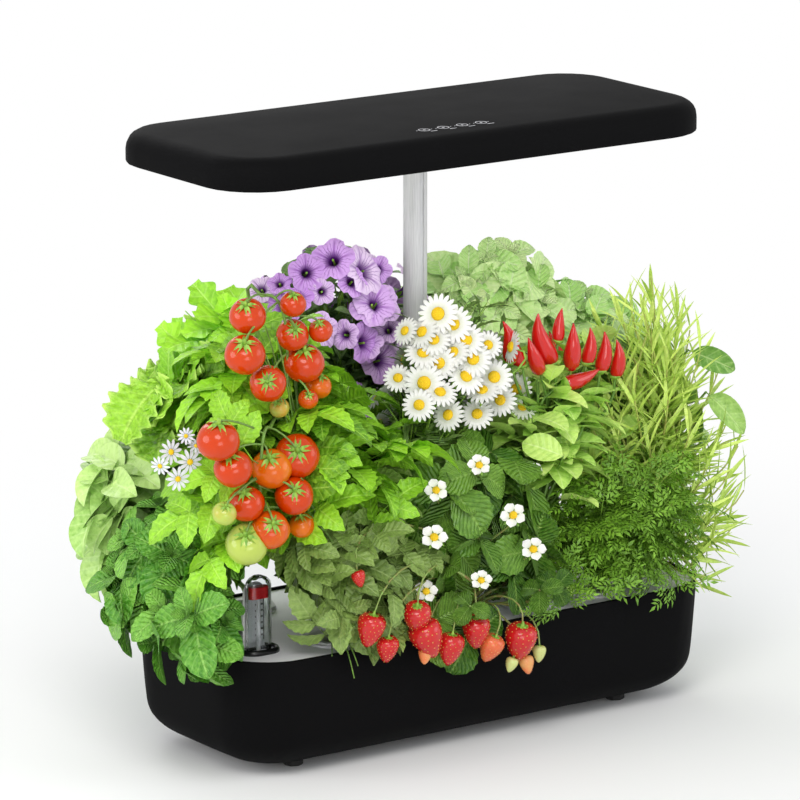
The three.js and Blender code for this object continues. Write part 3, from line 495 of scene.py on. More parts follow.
tree, given = new_tree("smooth_by_angle", {
    "Merge Distance": ("Float", 0.00001),
    "Angle": ("Float", 0.6),
    "Rounding": ("Int", 0),
})
smooth_tree = tree
shape = out(tree, "GeometryNodeMergeByDistance", {
    "Geometry": given["Geometry"],
    "Distance": given["Merge Distance"],
})
gentle = calc(tree, "LESS_THAN", out(tree, "GeometryNodeInputMeshEdgeAngle"), given["Angle"])
shape = out(tree, "GeometryNodeSubdivisionSurface", {
    "Mesh": shape,
    "Level": given["Rounding"],
    "Edge Crease": 1.0 - gentle,
})
shape = out(tree, "GeometryNodeSetShadeSmooth", {"Geometry": shape, "Shade Smooth": True})
shape = out(tree, "GeometryNodeSetShadeSmooth", {"Geometry": shape, "Shade Smooth": gentle}, domain="EDGE")
give(tree, shape)

SMOOTH_ANGLE = math.radians(32)
ROUNDING = {"water_tank": 2}  # how often the facets of a large round outline are halved
for row in frame["record"]["subparts"]:
    node = frame["nodes"][row["node"]]
    if row["material_slot"] in FINISHES:
        node.data.materials.clear()
        node.data.materials.append(FINISHES[row["material_slot"]])
        modifier = node.modifiers.new("smooth", "NODES")
        modifier.node_group = smooth_tree
        set_inputs(modifier, {"Angle": SMOOTH_ANGLE, "Rounding": ROUNDING.get(row["node"], 0)})

# %% [markdown]
# ## Forms
# Leaves, petals, fruits and stems are all made from three kinds of surface: a sheet (a grid of points,
# bent), a tube (rings along a path) and a turned body (rings about an axis). A small class holds points
# and faces, with a place on the leaf for each point, and can be moved, turned and added to another.

# %% Forms
class Form:
    """Points in millimetres, faces, a place (across, along) for each point, and each face's finish."""

    def __init__(self, points, faces, place=None, slot=0):
        self.points = np.asarray(points, float).reshape(-1, 3)
        self.faces = [tuple(int(k) for k in face) for face in faces]
        blank = np.zeros((len(self.points), 2))
        self.place = blank if place is None else np.asarray(place, float).reshape(-1, 2)
        self.slots = [slot] * len(self.faces) if isinstance(slot, int) else list(slot)

    def __add__(self, other):
        start = len(self.points)
        faces = self.faces + [tuple(k + start for k in face) for face in other.faces]
        points = np.vstack([self.points, other.points])
        return Form(points, faces, np.vstack([self.place, other.place]), self.slots + other.slots)

    def moved(self, turn=(0, 0, 0), shift=(0, 0, 0), scale=1.0):
        """A copy, scaled, turned by Euler angles in degrees and shifted."""
        matrix = np.array(Euler([math.radians(a) for a in turn]).to_matrix())
        points = self.points * scale @ matrix.T + np.asarray(shift, float)
        return Form(points, self.faces, self.place, self.slots)


def total(forms):
    """All forms as one."""
    whole = forms[0]
    for form in forms[1:]:
        whole = whole + form
    return whole


def round_z(form, count, start=0.0):
    """Copies of a form, turned about Z in even steps."""
    return [form.moved(turn=(0, 0, (k + start) * 360 / count)) for k in range(count)]


def sheet_form(points, place, slot=0):
    """A grid of points as a sheet whose upper side faces +Z where x runs across and y along."""
    rows, columns = points.shape[:2]
    faces = []
    for r in range(rows - 1):
        for c in range(columns - 1):
            k = r * columns + c
            faces.append((k, k + 1, k + columns + 1, k + columns))
    return Form(points, faces, place, slot)


def ring_form(rings, place=None, slot=0, closed=(True, True)):
    """Rings of points joined to a tube, with its ends closed."""
    count, sides = len(rings), len(rings[0])
    faces = []
    for level in range(count - 1):
        for k in range(sides):
            a, b = level * sides + k, level * sides + (k + 1) % sides
            faces.append((a, b, b + sides, a + sides))
    if closed[0]:
        faces.append(tuple(range(sides))[::-1])
    if closed[1]:
        faces.append(tuple(range((count - 1) * sides, count * sides)))
    return Form(np.concatenate(rings), faces, place, slot)


def turned_form(profile, sides, slot=0, swell=lambda turn: 1.0):
    """A body about Z; profile lists (radius, height) from the bottom up, swell varies it round."""
    turns = np.arange(sides) / sides * 2 * math.pi
    rings = []
    for radius, height in profile:
        r = radius * np.array([swell(turn) for turn in turns])
        rings.append(np.stack([r * np.cos(turns), r * np.sin(turns), np.full(sides, float(height))], 1))
    return ring_form(rings, slot=slot)


def tube_form(path, radii, sides=5, slot=0):
    """A tube along a path, with a radius at each point."""
    path = np.asarray(path, float)
    along = np.gradient(path, axis=0)
    along /= np.linalg.norm(along, axis=1)[:, None]
    side = np.cross(along, (0.31, 0.17, 0.94) if abs(along[0][2]) < 0.9 else (1, 0, 0))
    side /= np.linalg.norm(side, axis=1)[:, None]
    other = np.cross(along, side)
    turns = np.arange(sides) / sides * 2 * math.pi
    rings = [
        p + r * (np.outer(np.cos(turns), s) + np.outer(np.sin(turns), o))
        for p, r, s, o in zip(path, radii, side, other)
    ]
    return ring_form(rings, slot=slot)


def form_mesh(name, form, finishes=()):
    """The form as a smooth mesh in metres, with its places as the UV map 'place'."""
    mesh = bpy.data.meshes.new(name)
    mesh.from_pydata((form.points * MM).tolist(), [], form.faces)
    for finish in finishes:
        mesh.materials.append(finish)
    mesh.polygons.foreach_set("material_index", form.slots)
    mesh.shade_smooth()
    corner = np.zeros(len(mesh.loops), np.int32)
    mesh.loops.foreach_get("vertex_index", corner)
    layer = mesh.uv_layers.new(name="place")
    layer.uv.foreach_set("vector", form.place[corner].astype(np.float32).ravel())
    return mesh


def template(name, form, finishes=()):
    """An object that only node trees use: it isn't linked to the scene, so it never shows."""
    return bpy.data.objects.new(name, form_mesh(name, form, finishes))


# %% [markdown]
# ## A leaf
# A leaf is a sheet: an outline that swells and closes, a blade that folds along its midrib, droops
# towards its tip and ripples at its edge. Teeth come from drawing in every other row. A leaf of this kind
# can stand on its plant a thousand times, so it gets only as many rows as its outline needs.

# %% Leaf
def bent(angles, length):
    """How far a strip of that length gets along and up, when it bends down to an angle at each step."""
    middle = (angles[1:] + angles[:-1]) / 2
    step = length / len(middle)
    along, down = (np.concatenate([[0], np.cumsum(part(middle)) * step]) for part in (np.cos, np.sin))
    return along, -down


def leaf_form(
    length, width, rows=7, columns=4, widest=0.42, blunt=0.85, teeth=0.0, lobes=0.0, lobe_count=3,
    cup=0.25, droop=0.7, ruffle=0.0, waves=3.0, stalk=0.0, tip=0.03, slot=0,
):
    """A leaf that starts at the origin and runs along +Y, with its upper side to +Z."""
    t = np.linspace(0, 1, rows + 1)
    power = math.log(0.5) / math.log(widest)
    half = width / 2 * np.sin(math.pi * np.clip(t, 0, 1) ** power) ** blunt
    half *= 1 - lobes * (0.5 - 0.5 * np.cos(2 * math.pi * lobe_count * t))
    half[1:-1:2] *= 1 - teeth
    half = np.maximum(half, width * np.where(t > 0.5, tip, 0.03))
    bend = droop * t ** 1.3
    y, z = bent(bend, length)
    v = np.linspace(-1, 1, columns + 1)
    side = np.where(v > 0, 1.3, 0.0)
    edge = np.abs(v)[None, :]
    ripple = ruffle * edge ** 2 * np.sin(2 * math.pi * waves * t[:, None] + side[None, :])
    lift = half[:, None] * (cup * edge ** 1.4 + ripple)
    points = np.stack([
        half[:, None] * v[None, :] * (1 - 0.12 * cup),
        y[:, None] + np.sin(bend)[:, None] * lift,
        z[:, None] + np.cos(bend)[:, None] * lift,
    ], 2)
    place = np.stack(np.broadcast_arrays(v[None, :] / 2 + 0.5, t[:, None]), 2)
    blade = sheet_form(points, place, slot)
    if stalk:
        radius = max(0.35, width * 0.03)
        path = [(0, 0, 0), (0, stalk * 0.55, 0.6), (0, stalk * 1.06, 0)]
        blade = blade.moved(shift=(0, stalk, 0)) + tube_form(path, [radius, radius, radius * 0.7], 3, slot)
    return blade


def facing_pair(leaf, tilt):
    """Two leaves that stand opposite each other on a stem along +Z."""
    raised = leaf.moved(turn=(tilt, 0, 0))
    return raised + raised.moved(turn=(0, 0, 180))


# %% [markdown]
# ## The finish of leaves
# A leaf reads as alive through its veins and through the differences between leaves. The 'place' map
# gives the distance from the midrib and along it, which draws the midrib and slanted side veins.
# The attribute 'tone' holds one random number for each leaf, and 'along' says how near to the shoot's
# tip it stands, where leaves are younger and brighter.

# %% Leaf finish
def own_place(tree):
    """The 'place' map of a form: across and along a leaf or petal."""
    return out(tree, "ShaderNodeUVMap", uv_map="place")


def carried(tree, name):
    """A number that each point of a grown plant carries."""
    return outs(tree, "ShaderNodeAttribute", attribute_name=name)["Fac"]


def leaf_finish(
    name, dark, light, vein, veins=7.0, slant=0.35, vein_depth=0.35, roughness=0.45, mottle=3.0, quilt=0.0,
    rim=0.0,
):
    """Green leaf with veins; dark and light are its extremes, quilt raises small cells between the veins,
    and rim is how much the edge takes the veins' colour."""
    material, tree, shader = new_finish(name, light, roughness, Specular_IOR_Level=0.4)
    x, y, _ = own_place(tree).axes()
    across = abs(x - 0.5)
    phase = calc(tree, "FRACT", (y - across * slant) * veins)
    side_vein = abs(phase - 0.5)
    midrib = 1.0 - across.span(0.012, 0.05)
    ribs = calc(tree, "MAXIMUM", midrib, (1.0 - side_vein.span(0.0, 0.13)) * 0.5)
    if rim:
        ribs = calc(tree, "MAXIMUM", ribs, across.span(0.38, 0.49, 0.0, rim))
    spots = grain(tree, mottle, detail=3).span(0.3, 0.7, -0.25, 0.25)
    share = carried(tree, "tone") * 0.65 + carried(tree, "along") * 0.35 + spots
    color = mix(ribs * 0.55, mix(share.span(0.0, 1.0), dark, light), vein)
    height = side_vein.span(0.0, 0.5) - midrib * 0.6
    if quilt:
        stretched = out(tree, "ShaderNodeMapping", {"Vector": own_place(tree), "Scale": (9, 13, 1)})
        swell = out(tree, "ShaderNodeTexVoronoi", {"Vector": stretched, "Scale": 1.0})
        height = height + swell.span(0.1, 0.7, 1.0, 0.0) * quilt
    wear(shader, color, spots.span(-0.25, 0.25, roughness - 0.08, roughness + 0.1), height, vein_depth)
    return material


def stem_finish(name, color, other):
    """Green or reddish stem with lengthwise streaks."""
    material, tree, shader = new_finish(name, color, 0.5)
    streak = grain(tree, 2.5, detail=3, stretch=(1, 1, 0.15))
    wear(shader, mix(streak.span(0.35, 0.65), other, color), height=streak, depth=0.1)
    return material


# %% [markdown]
# ## How a plant grows: two node trees
# The first tree makes leafy shoots. It takes lines, gives them a stem, walks along each line in even
# steps and puts a leaf at each step, turned on from the last one by a fixed angle, as real shoots do.
# Leaves get smaller and more upright towards the tip, and lean towards the light.

# %% Leafy shoots
STEM_SIDES = 5


def named(tree, name, data_type="FLOAT"):
    """A field that reads an attribute."""
    return out(tree, "GeometryNodeInputNamedAttribute", {"Name": name}, data_type=data_type)


def store(geometry, name, value, domain="POINT"):
    """Writes an attribute and returns the geometry."""
    inputs = {"Geometry": geometry, "Name": name, "Value": value}
    return out(geometry.tree, "GeometryNodeStoreNamedAttribute", inputs, data_type="FLOAT", domain=domain)


def turn_about(rotation, axis, angle):
    """The rotation, turned further about its own axis."""
    further = out(rotation.tree, "FunctionNodeAxisAngleToRotation", {"Axis": axis, "Angle": angle})
    inputs = {"Rotation": rotation, "Rotate By": further}
    return out(rotation.tree, "FunctionNodeRotateRotation", inputs, rotation_space="LOCAL")


def aligned(tree, vector, share=1.0, rotation=None):
    """A rotation whose Z axis is turned towards the vector, by a share of the way."""
    inputs = {"Vector": vector, "Factor": share, "Rotation": rotation}
    return out(tree, "FunctionNodeAlignRotationToVector", inputs, axis="Z")


def random_between(low, high, seed):
    """A random number for each element."""
    return out(
        seed.tree, "FunctionNodeRandomValue", {"Min": low, "Max": high, "Seed": seed}, data_type="FLOAT",
    )


def above(value, limit):
    """Where a value is above the limit."""
    return out(value.tree, "FunctionNodeCompare", {0: value, 1: limit}, operation="GREATER_THAN")


def object_shape(holder):
    """The geometry of an object that the tree is given."""
    return outs(holder.tree, "GeometryNodeObjectInfo", {"Object": holder})["Geometry"]


def stem_mesh(tree, curve):
    """A round stem whose radius is the attribute 'thick'."""
    circle = out(tree, "GeometryNodeCurvePrimitiveCircle", {"Resolution": STEM_SIDES, "Radius": 1.0})
    inputs = {"Curve": curve, "Profile Curve": circle, "Scale": named(tree, "thick"), "Fill Caps": True}
    return out(tree, "GeometryNodeCurveToMesh", inputs)


def join(tree, *shapes):
    """Several shapes as one, with their instances turned to real geometry."""
    node = put(tree, "GeometryNodeJoinGeometry")
    for shape in shapes:
        connect(tree, shape, node.inputs[0])
    return out(tree, "GeometryNodeRealizeInstances", {"Geometry": Value(tree, node.outputs[0])})


def dressed(shape, material, selection=True):
    """The selected faces with that material."""
    inputs = {"Geometry": shape, "Selection": selection, "Material": material}
    return out(shape.tree, "GeometryNodeSetMaterial", inputs)


def finish_off(tree, stems, instances, stem_material, leaf_material=None):
    """Joins stems and instances and sets their materials, by the attribute 'stem'."""
    shape = join(tree, store(stems, "stem", 1.0), instances)
    is_stem = above(named(tree, "stem"), 0.5)
    if leaf_material is not None:
        shape = dressed(
            shape, leaf_material, out(tree, "FunctionNodeBooleanMath", {0: is_stem}, operation="NOT"),
        )
    give(tree, dressed(shape, stem_material, is_stem))


tree, given = new_tree("leafy_shoots", {
    "Leaf": ("Object", None),
    "Spacing": ("Float", 0.006),
    "Twist": ("Float", 2.4),
    "Lean": ("Float", 0.5),
    "Tip Lean": ("Float", 1.2),
    "Upturn": ("Float", 0.3),
    "Leaf Scale": ("Float", 1.0),
    "Tip Scale": ("Float", 0.6),
    "Scale Spread": ("Float", 0.15),
    "Wobble": ("Float", 0.3),
    "Seed": ("Int", 1),
    "Leaf Material": ("Material", None),
    "Stem Material": ("Material", None),
})
shoot_tree = tree
wobble, seed = given["Wobble"], given["Seed"]
lines = out(tree, "GeometryNodeMeshToCurve", {"Mesh": given["Geometry"]})
lines = store(lines, "along", out(tree, "GeometryNodeSplineParameter"))
steps = outs(tree, "GeometryNodeCurveToPoints", {"Curve": lines, "Length": given["Spacing"]}, mode="LENGTH")
along = named(tree, "along")
turn = out(tree, "GeometryNodeInputIndex") * given["Twist"] + random_between(wobble * -1.0, wobble, seed)
lean = calc(tree, "MULTIPLY_ADD", along * along, given["Tip Lean"] - given["Lean"], given["Lean"])
lean = lean + random_between(wobble * -0.6, wobble * 0.6, seed + 7.0)
rotation = turn_about(aligned(tree, steps["Tangent"]), (0, 0, 1), turn)
rotation = turn_about(rotation, (1, 0, 0), lean)
growth = given["Tip Scale"] - given["Leaf Scale"]
size = calc(tree, "MULTIPLY_ADD", along, growth, given["Leaf Scale"])
spread = random_between(given["Scale Spread"] * -1.0, given["Scale Spread"], seed + 3.0)
placed = out(tree, "GeometryNodeInstanceOnPoints", {
    "Points": steps["Points"],
    "Selection": above(along, named(tree, "bare")),
    "Instance": object_shape(given["Leaf"]),
    "Rotation": aligned(tree, (0.0, 0.0, 1.0), given["Upturn"], rotation),
    "Scale": size * (spread + 1.0),
})
toned = store(placed, "tone", random_between(0.0001, 1.0, seed + 11.0), domain="INSTANCE")
finish_off(tree, stem_mesh(tree, lines), toned, given["Stem Material"], given["Leaf Material"])

# %% [markdown]
# The second tree puts a single head, such as a flower, a fruit or a leaf on a long stalk, at the end
# of each line, where the line says which way the head faces, how large it is and what tone it has.

# %% Heads on stalks
tree, given = new_tree("heads_on_stalks", {"Head": ("Object", None), "Stalk Material": ("Material", None)})
head_tree = tree
lines = out(tree, "GeometryNodeMeshToCurve", {"Mesh": given["Geometry"]})
facing = aligned(tree, named(tree, "facing", "FLOAT_VECTOR"))
placed = out(tree, "GeometryNodeInstanceOnPoints", {
    "Points": lines,
    "Selection": out(tree, "GeometryNodeCurveEndpointSelection", {"Start Size": 0, "End Size": 1}),
    "Instance": object_shape(given["Head"]),
    "Rotation": turn_about(facing, (0, 0, 1), named(tree, "turn")),
    "Scale": named(tree, "size"),
})
finish_off(tree, stem_mesh(tree, lines), placed, given["Stalk Material"])

# %% [markdown]
# ## What the photo shows in front
# The flowers and fruits that face the camera are the garden's best marks, so each has its own place:
# the pixel of its middle, its size there, and for fruits its ripeness. Leaves that would cover them
# are taken out later, as a gardener does before a picture is taken.

# %% Places of flowers and fruits
PIXELS_PER_MM = FOCAL / DISTANCE * MM
# How far from the middle things stand, in millimetres along y; the front is negative
TRUSS_DEPTHS = (-84, -98)
TRUSS_TOPS = ((262, 296), (270, 428))  # the pixels from which their stems come down
BERRY_DEPTH = -104
BERRY_FLOWER_DEPTH = -85
CHILI_DEPTH = -52
DAISY_DEPTH = -60
PETUNIA_DEPTH = 30
# Each fruit: where it shows in the photo, its radius there in pixels, and its ripeness
UPPER_TRUSS = [
    (248, 318, 18, 0.85), (293, 306, 13, 0.85), (292, 336, 16, 0.9), (321, 332, 12, 0.8), (245, 357, 20, 1.0),
    (304, 366, 20, 0.85), (268, 384, 18, 0.9), (318, 388, 13, 0.5), (308, 400, 10, 0.7), (280, 409, 10, 0.2),
]
LOWER_TRUSS = [
    (218, 444, 21, 0.95), (297, 457, 22, 0.9), (234, 471, 19, 0.85), (272, 471, 20, 0.5), (247, 506, 18, 0.9),
    (294, 497, 19, 0.85), (270, 531, 19, 0.6), (302, 527, 13, 0.5), (247, 546, 21, 0.02), (224, 515, 12, 0.1),
]
BERRY_FLOWERS = [
    (436, 490, 1.0), (479, 465, 1.0), (535, 469, 0.6), (434, 537, 1.15), (513, 515, 1.1), (533, 549, 1.1),
    (481, 580, 0.95), (426, 591, 1.0),
]
BERRIES = [
    (370, 631, 1.0, 1.0), (387, 650, 0.8, 1.0), (417, 619, 1.0, 0.95), (428, 640, 1.2, 0.95),
    (450, 650, 0.95, 0.95), (476, 633, 1.0, 0.9), (490, 649, 0.85, 0.5), (520, 643, 1.15, 0.95),
    (359, 579, 0.5, 1.0), (425, 656, 0.5, 0.3), (527, 665, 0.55, 0.3), (511, 665, 0.45, 0.05),
    (539, 654, 0.5, 0.05),
]
DAISY_HEADS = [
    (438, 314, 42), (453, 324, 40), (405, 331, 30), (422, 332, 36), (466, 340, 38), (423, 353, 38),
    (439, 363, 36), (453, 352, 34), (473, 359, 38), (511, 347, 34), (424, 383, 42), (398, 378, 30),
    (466, 376, 40), (494, 377, 38), (482, 390, 36), (419, 405, 34), (448, 415, 34), (477, 414, 34),
    (516, 389, 34), (522, 407, 30), (440, 392, 36), (500, 400, 34), (434, 340, 34), (488, 345, 30),
]
# Each fruit from the pixel of its foot to the pixel of its tip
CHILIES = [
    ((553, 364), (542, 313)), ((558, 342), (563, 309)), ((586, 364), (588, 328)), ((615, 377), (614, 340)),
    ((571, 368), (573, 322)), ((600, 372), (602, 332)), ((510, 362), (500, 322)), ((522, 366), (516, 330)),
    ((563, 384), (600, 366)), ((540, 372), (528, 336)),
]
PETUNIAS = [
    (333, 260, 46), (372, 305, 48), (398, 294, 40), (262, 290, 30), (300, 298, 30), (322, 292, 28),
    (345, 335, 32), (368, 345, 34), (352, 282, 34), (388, 330, 30), (280, 284, 26), (378, 270, 30),
]

ASTER_DEPTH = -62
ASTERS = [(171, 452, 25), (190, 462, 26), (178, 479, 24), (160, 466, 20), (196, 446, 18), (186, 436, 17)]

# What must show of each thing, in pixels, or as a share of its width or radius
FRUIT_SHARE, FLOWER_SHARE, ASTER_SHARE = 0.92, 0.38, 0.4
BERRY_SHOWN, BERRY_FLOWER_SHOWN, CHILI_SHOWN = 11, 10, 6
# Discs of the picture that leaves keep clear: the pixel, the radius and how far away the thing is
SHOWN = []


def keep_shown(u, v, radius, depth):
    """Keeps leaves from hiding a disc of the picture at that depth."""
    SHOWN.append((u, v, radius, to_pixels(at_pixel(u, v, depth)[None])[2][0]))


for depth, fruits in zip(TRUSS_DEPTHS, (UPPER_TRUSS, LOWER_TRUSS)):
    for u, v, radius, ripe in fruits:
        keep_shown(u, v, radius * FRUIT_SHARE, depth)
for u, v, size, ripe in BERRIES:
    keep_shown(u, v, BERRY_SHOWN * size, BERRY_DEPTH)
for u, v, width in DAISY_HEADS:
    keep_shown(u, v, width * FLOWER_SHARE, DAISY_DEPTH)
for u, v, width in PETUNIAS:
    keep_shown(u, v, width * FLOWER_SHARE, PETUNIA_DEPTH)
for low, high in CHILIES:
    for share in (0.25, 0.5, 0.75):
        keep_shown(*(np.array(low) * (1 - share) + np.array(high) * share), CHILI_SHOWN, CHILI_DEPTH)
for u, v, size in BERRY_FLOWERS:
    keep_shown(u, v, BERRY_FLOWER_SHOWN * size, BERRY_FLOWER_DEPTH)
for u, v, width in ASTERS:
    keep_shown(u, v, width * ASTER_SHARE, ASTER_DEPTH)
SHOWN = np.array(SHOWN)
print("places:", len(SHOWN), "discs are kept in view")

# %% [markdown]
# ## From lines to a plain mesh
# A tree's host is a mesh of bare lines. Once the tree has run, the evaluated result is copied to a
# plain mesh, the modifier goes, and the piece is ready to ride on its body. Leaves that would reach
# into the pole, the light, the tank, the level window or the flap's way are taken out again: each leaf
# is known by its tone, so all of its points go together.

# %% Lines, growth and clearance
POLE = (0, 8.5)
POLE_CLEAR = 10.5
SOCKET_CLEAR = 16.5
SOCKET_ROOM, LAMP_ROOM, RIM_ROOM, TANK_ROOM, OUTER_ROOM = 1.5, 12, 2.2, 0.8, 9
SOCKET_TOP = box("pole_socket")[1][2] + SOCKET_ROOM
LAMP_BOTTOM = box("lamp_cover")[0][2] - LAMP_ROOM
TANK_CORNER = 45
TANK_HIGH = box("water_tank")[1]
RIM_TOP = TANK_HIGH[2] + RIM_ROOM
WINDOW_LOW, WINDOW_HIGH = box("level_window")
FLAP_LOW, FLAP_HIGH = box("fill_flap")
FLAP_SWING = 50
FLAP_ROOM = 4
FLAP_BACK = 12  # behind the hinge, where the open flap leans back
OUTER_LOW = np.array(CAD_BOX[0]) / MM - OUTER_ROOM
OUTER_HIGH = np.array(CAD_BOX[1]) / MM + OUTER_ROOM
LOWEST_ROW = 687  # of the photo, below which no leaf hangs
WINDOW_VIEW = (246, 572, 276, 656)  # pixels of the photo in which the level window shows
TANK_VIEW = (560, 614, 700, 700)  # pixels of the photo in which the tank's front shows
POLE_VIEW = (402, 170, 434, 308)  # pixels of the photo in which the pole shows
# The upper outline of the plants in the photo, from left to right; leaves stay below it
CROWN = np.array([
    (60, 462), (75, 432), (100, 400), (150, 336), (168, 300), (176, 278), (208, 278), (240, 284), (308, 240),
    (335, 232), (400, 266), (430, 242), (512, 234), (560, 258), (618, 288), (638, 252), (690, 288),
    (718, 325), (750, 385), (755, 560), (760, 720),
])
WINDOW_ROOM = 5


def in_box(points, low, high, margin):
    """Whether each point lies in a box that is larger by the margin."""
    return np.all((points > low - margin) & (points < high + margin), axis=1)


def in_view(points, view, nearer_than):
    """Whether the camera sees a point in that pixel box, in front of the plane y = nearer_than."""
    u, v, _ = to_pixels(points)
    left, top, right, bottom = view
    return (u > left) & (u < right) & (v > top) & (v < bottom) & (points[:, 1] < nearer_than)


def above_crown(points):
    """Whether the camera sees each point above the plants' upper outline."""
    u, v, _ = to_pixels(points)
    return v < np.interp(u, *CROWN.T)


def blocked(points, views=True):
    """True for points that are in the way of a rigid piece, or leave the room that the plants have."""
    x, y, z = points.T
    from_pole = np.hypot(x - POLE[0], y - POLE[1])
    flat_x = np.abs(x) - (TANK_HIGH[0] - TANK_CORNER)
    flat_y = np.abs(y) - (TANK_HIGH[1] - TANK_CORNER)
    outside = np.hypot(np.maximum(flat_x, 0), np.maximum(flat_y, 0))
    outside += np.minimum(np.maximum(flat_x, flat_y), 0)
    taken = (from_pole < POLE_CLEAR) | ((from_pole < SOCKET_CLEAR) & (z < SOCKET_TOP)) | (z > LAMP_BOTTOM)
    taken |= (outside - TANK_CORNER < TANK_ROOM) & (z < RIM_TOP)
    taken |= in_box(points, WINDOW_LOW, WINDOW_HIGH, WINDOW_ROOM)
    taken |= in_box(points, FLAP_LOW - (FLAP_BACK, 0, 0), FLAP_HIGH + (0, 0, FLAP_SWING), FLAP_ROOM)
    taken |= ~in_box(points, OUTER_LOW, OUTER_HIGH, 0)
    if views:
        taken |= in_view(points, WINDOW_VIEW, WINDOW_HIGH[1])
        taken |= in_view(points, POLE_VIEW, POLE[1]) | in_view(points, TANK_VIEW, 0)
        u, v, away = to_pixels(points)
        taken |= (v > LOWEST_ROW) | above_crown(points)
        for row in SHOWN:
            taken |= (np.hypot(u - row[0], v - row[1]) < row[2]) & (away < row[3])
    return taken


def line_mesh(name, paths):
    """Lines with attributes; each path is a dict of points and of values or arrays by name."""
    points = np.concatenate([p["points"] for p in paths])
    edges, start = [], 0
    for p in paths:
        count = len(p["points"])
        edges += [(start + k, start + k + 1) for k in range(count - 1)]
        start += count
    mesh = bpy.data.meshes.new(name)
    mesh.from_pydata((points * MM).tolist(), edges, [])
    for key in paths[0]:
        if key == "points":
            continue
        kind = "FLOAT_VECTOR" if key == "facing" else "FLOAT"
        width = 3 if key == "facing" else 1
        values = [
            np.broadcast_to(np.asarray(p[key], float).reshape(-1, width), (len(p["points"]), width))
            for p in paths
        ]
        attribute = mesh.attributes.new(key, kind, "POINT")
        attribute.data.foreach_set(
            "vector" if width == 3 else "value", np.concatenate(values).astype(np.float32).ravel(),
        )
    return mesh


def evaluated(name, mesh, tree, values):
    """Runs the tree on the mesh and returns an object that holds the plain result."""
    piece = stand(name, mesh)
    modifier = piece.modifiers.new("grow", "NODES")
    modifier.node_group = tree
    set_inputs(modifier, values)
    graph = bpy.context.evaluated_depsgraph_get()
    result = bpy.data.meshes.new_from_object(
        piece.evaluated_get(graph), preserve_all_data_layers=True, depsgraph=graph,
    )
    piece.modifiers.remove(modifier)
    piece.data = result
    bpy.data.meshes.remove(mesh)
    return piece


def read(mesh, name):
    """A number attribute of a mesh as an array, or zeros."""
    values = np.zeros(len(mesh.vertices), np.float32)
    if name in mesh.attributes:
        mesh.attributes[name].data.foreach_get("value", values)
    return values


def clear_blocked(piece, views=True):
    """Takes out each leaf or head that has a point where it may not be."""
    mesh = piece.data
    points = np.zeros(len(mesh.vertices) * 3, np.float32)
    mesh.vertices.foreach_get("co", points)
    tone = read(mesh, "tone")
    is_head = (tone > 0) & (read(mesh, "stem") < 0.5)
    bad = np.unique(tone[blocked(points.reshape(-1, 3).astype(float) / MM, views) & is_head])
    gone = np.isin(tone, bad) & (tone > 0)
    if gone.any():
        work = bmesh.new()
        work.from_mesh(mesh)
        work.verts.ensure_lookup_table()
        bmesh.ops.delete(work, geom=[work.verts[k] for k in np.flatnonzero(gone)], context="VERTS")
        work.to_mesh(mesh)
        work.free()
    return len(bad)


# %% [markdown]
# ## Where a plant's shoots go
# Each plant has a plain solid in the frame: the space that it fills. Its shoots rise from the sponge,
# follow the middle of that space upwards and branch off to points spread evenly over its surface.
# Points that face another plant at close range are left out, since nobody sees them.

# %% Plant
SAMPLES = 2600
NEIGHBOUR_GAP = 4.0
UPWARD = np.array([0.0, 0.0, 1.0])


def unit(vector):
    """The vector with a length of 1."""
    return np.asarray(vector, float) / np.linalg.norm(vector)


def bezier(*controls, steps=8):
    """Points along a Bezier curve."""
    points = np.array(controls, float)
    t = np.linspace(0, 1, steps + 1)[:, None]
    degree = len(points) - 1
    return sum(math.comb(degree, k) * t ** k * (1 - t) ** (degree - k) * p for k, p in enumerate(points))


def solid_of(node):
    """A node's triangles in millimetres."""
    mesh = frame["nodes"][node].data
    mesh.calc_loop_triangles()
    points = np.array([v.co for v in mesh.vertices]) / MM
    return points, np.array([t.vertices for t in mesh.loop_triangles])


PLANT_NODES = [row["node"] for row in frame["record"]["subparts"] if row["node"].startswith("plant_")]
SOLIDS = {node: solid_of(node) for node in PLANT_NODES}
SURFACES = {node: BVHTree.FromPolygons(p.tolist(), t.tolist()) for node, (p, t) in SOLIDS.items()}


def tapered(points, start, end):
    """A thickness for each point of a line, from start to end in millimetres."""
    return np.linspace(start, end, len(points)) * MM


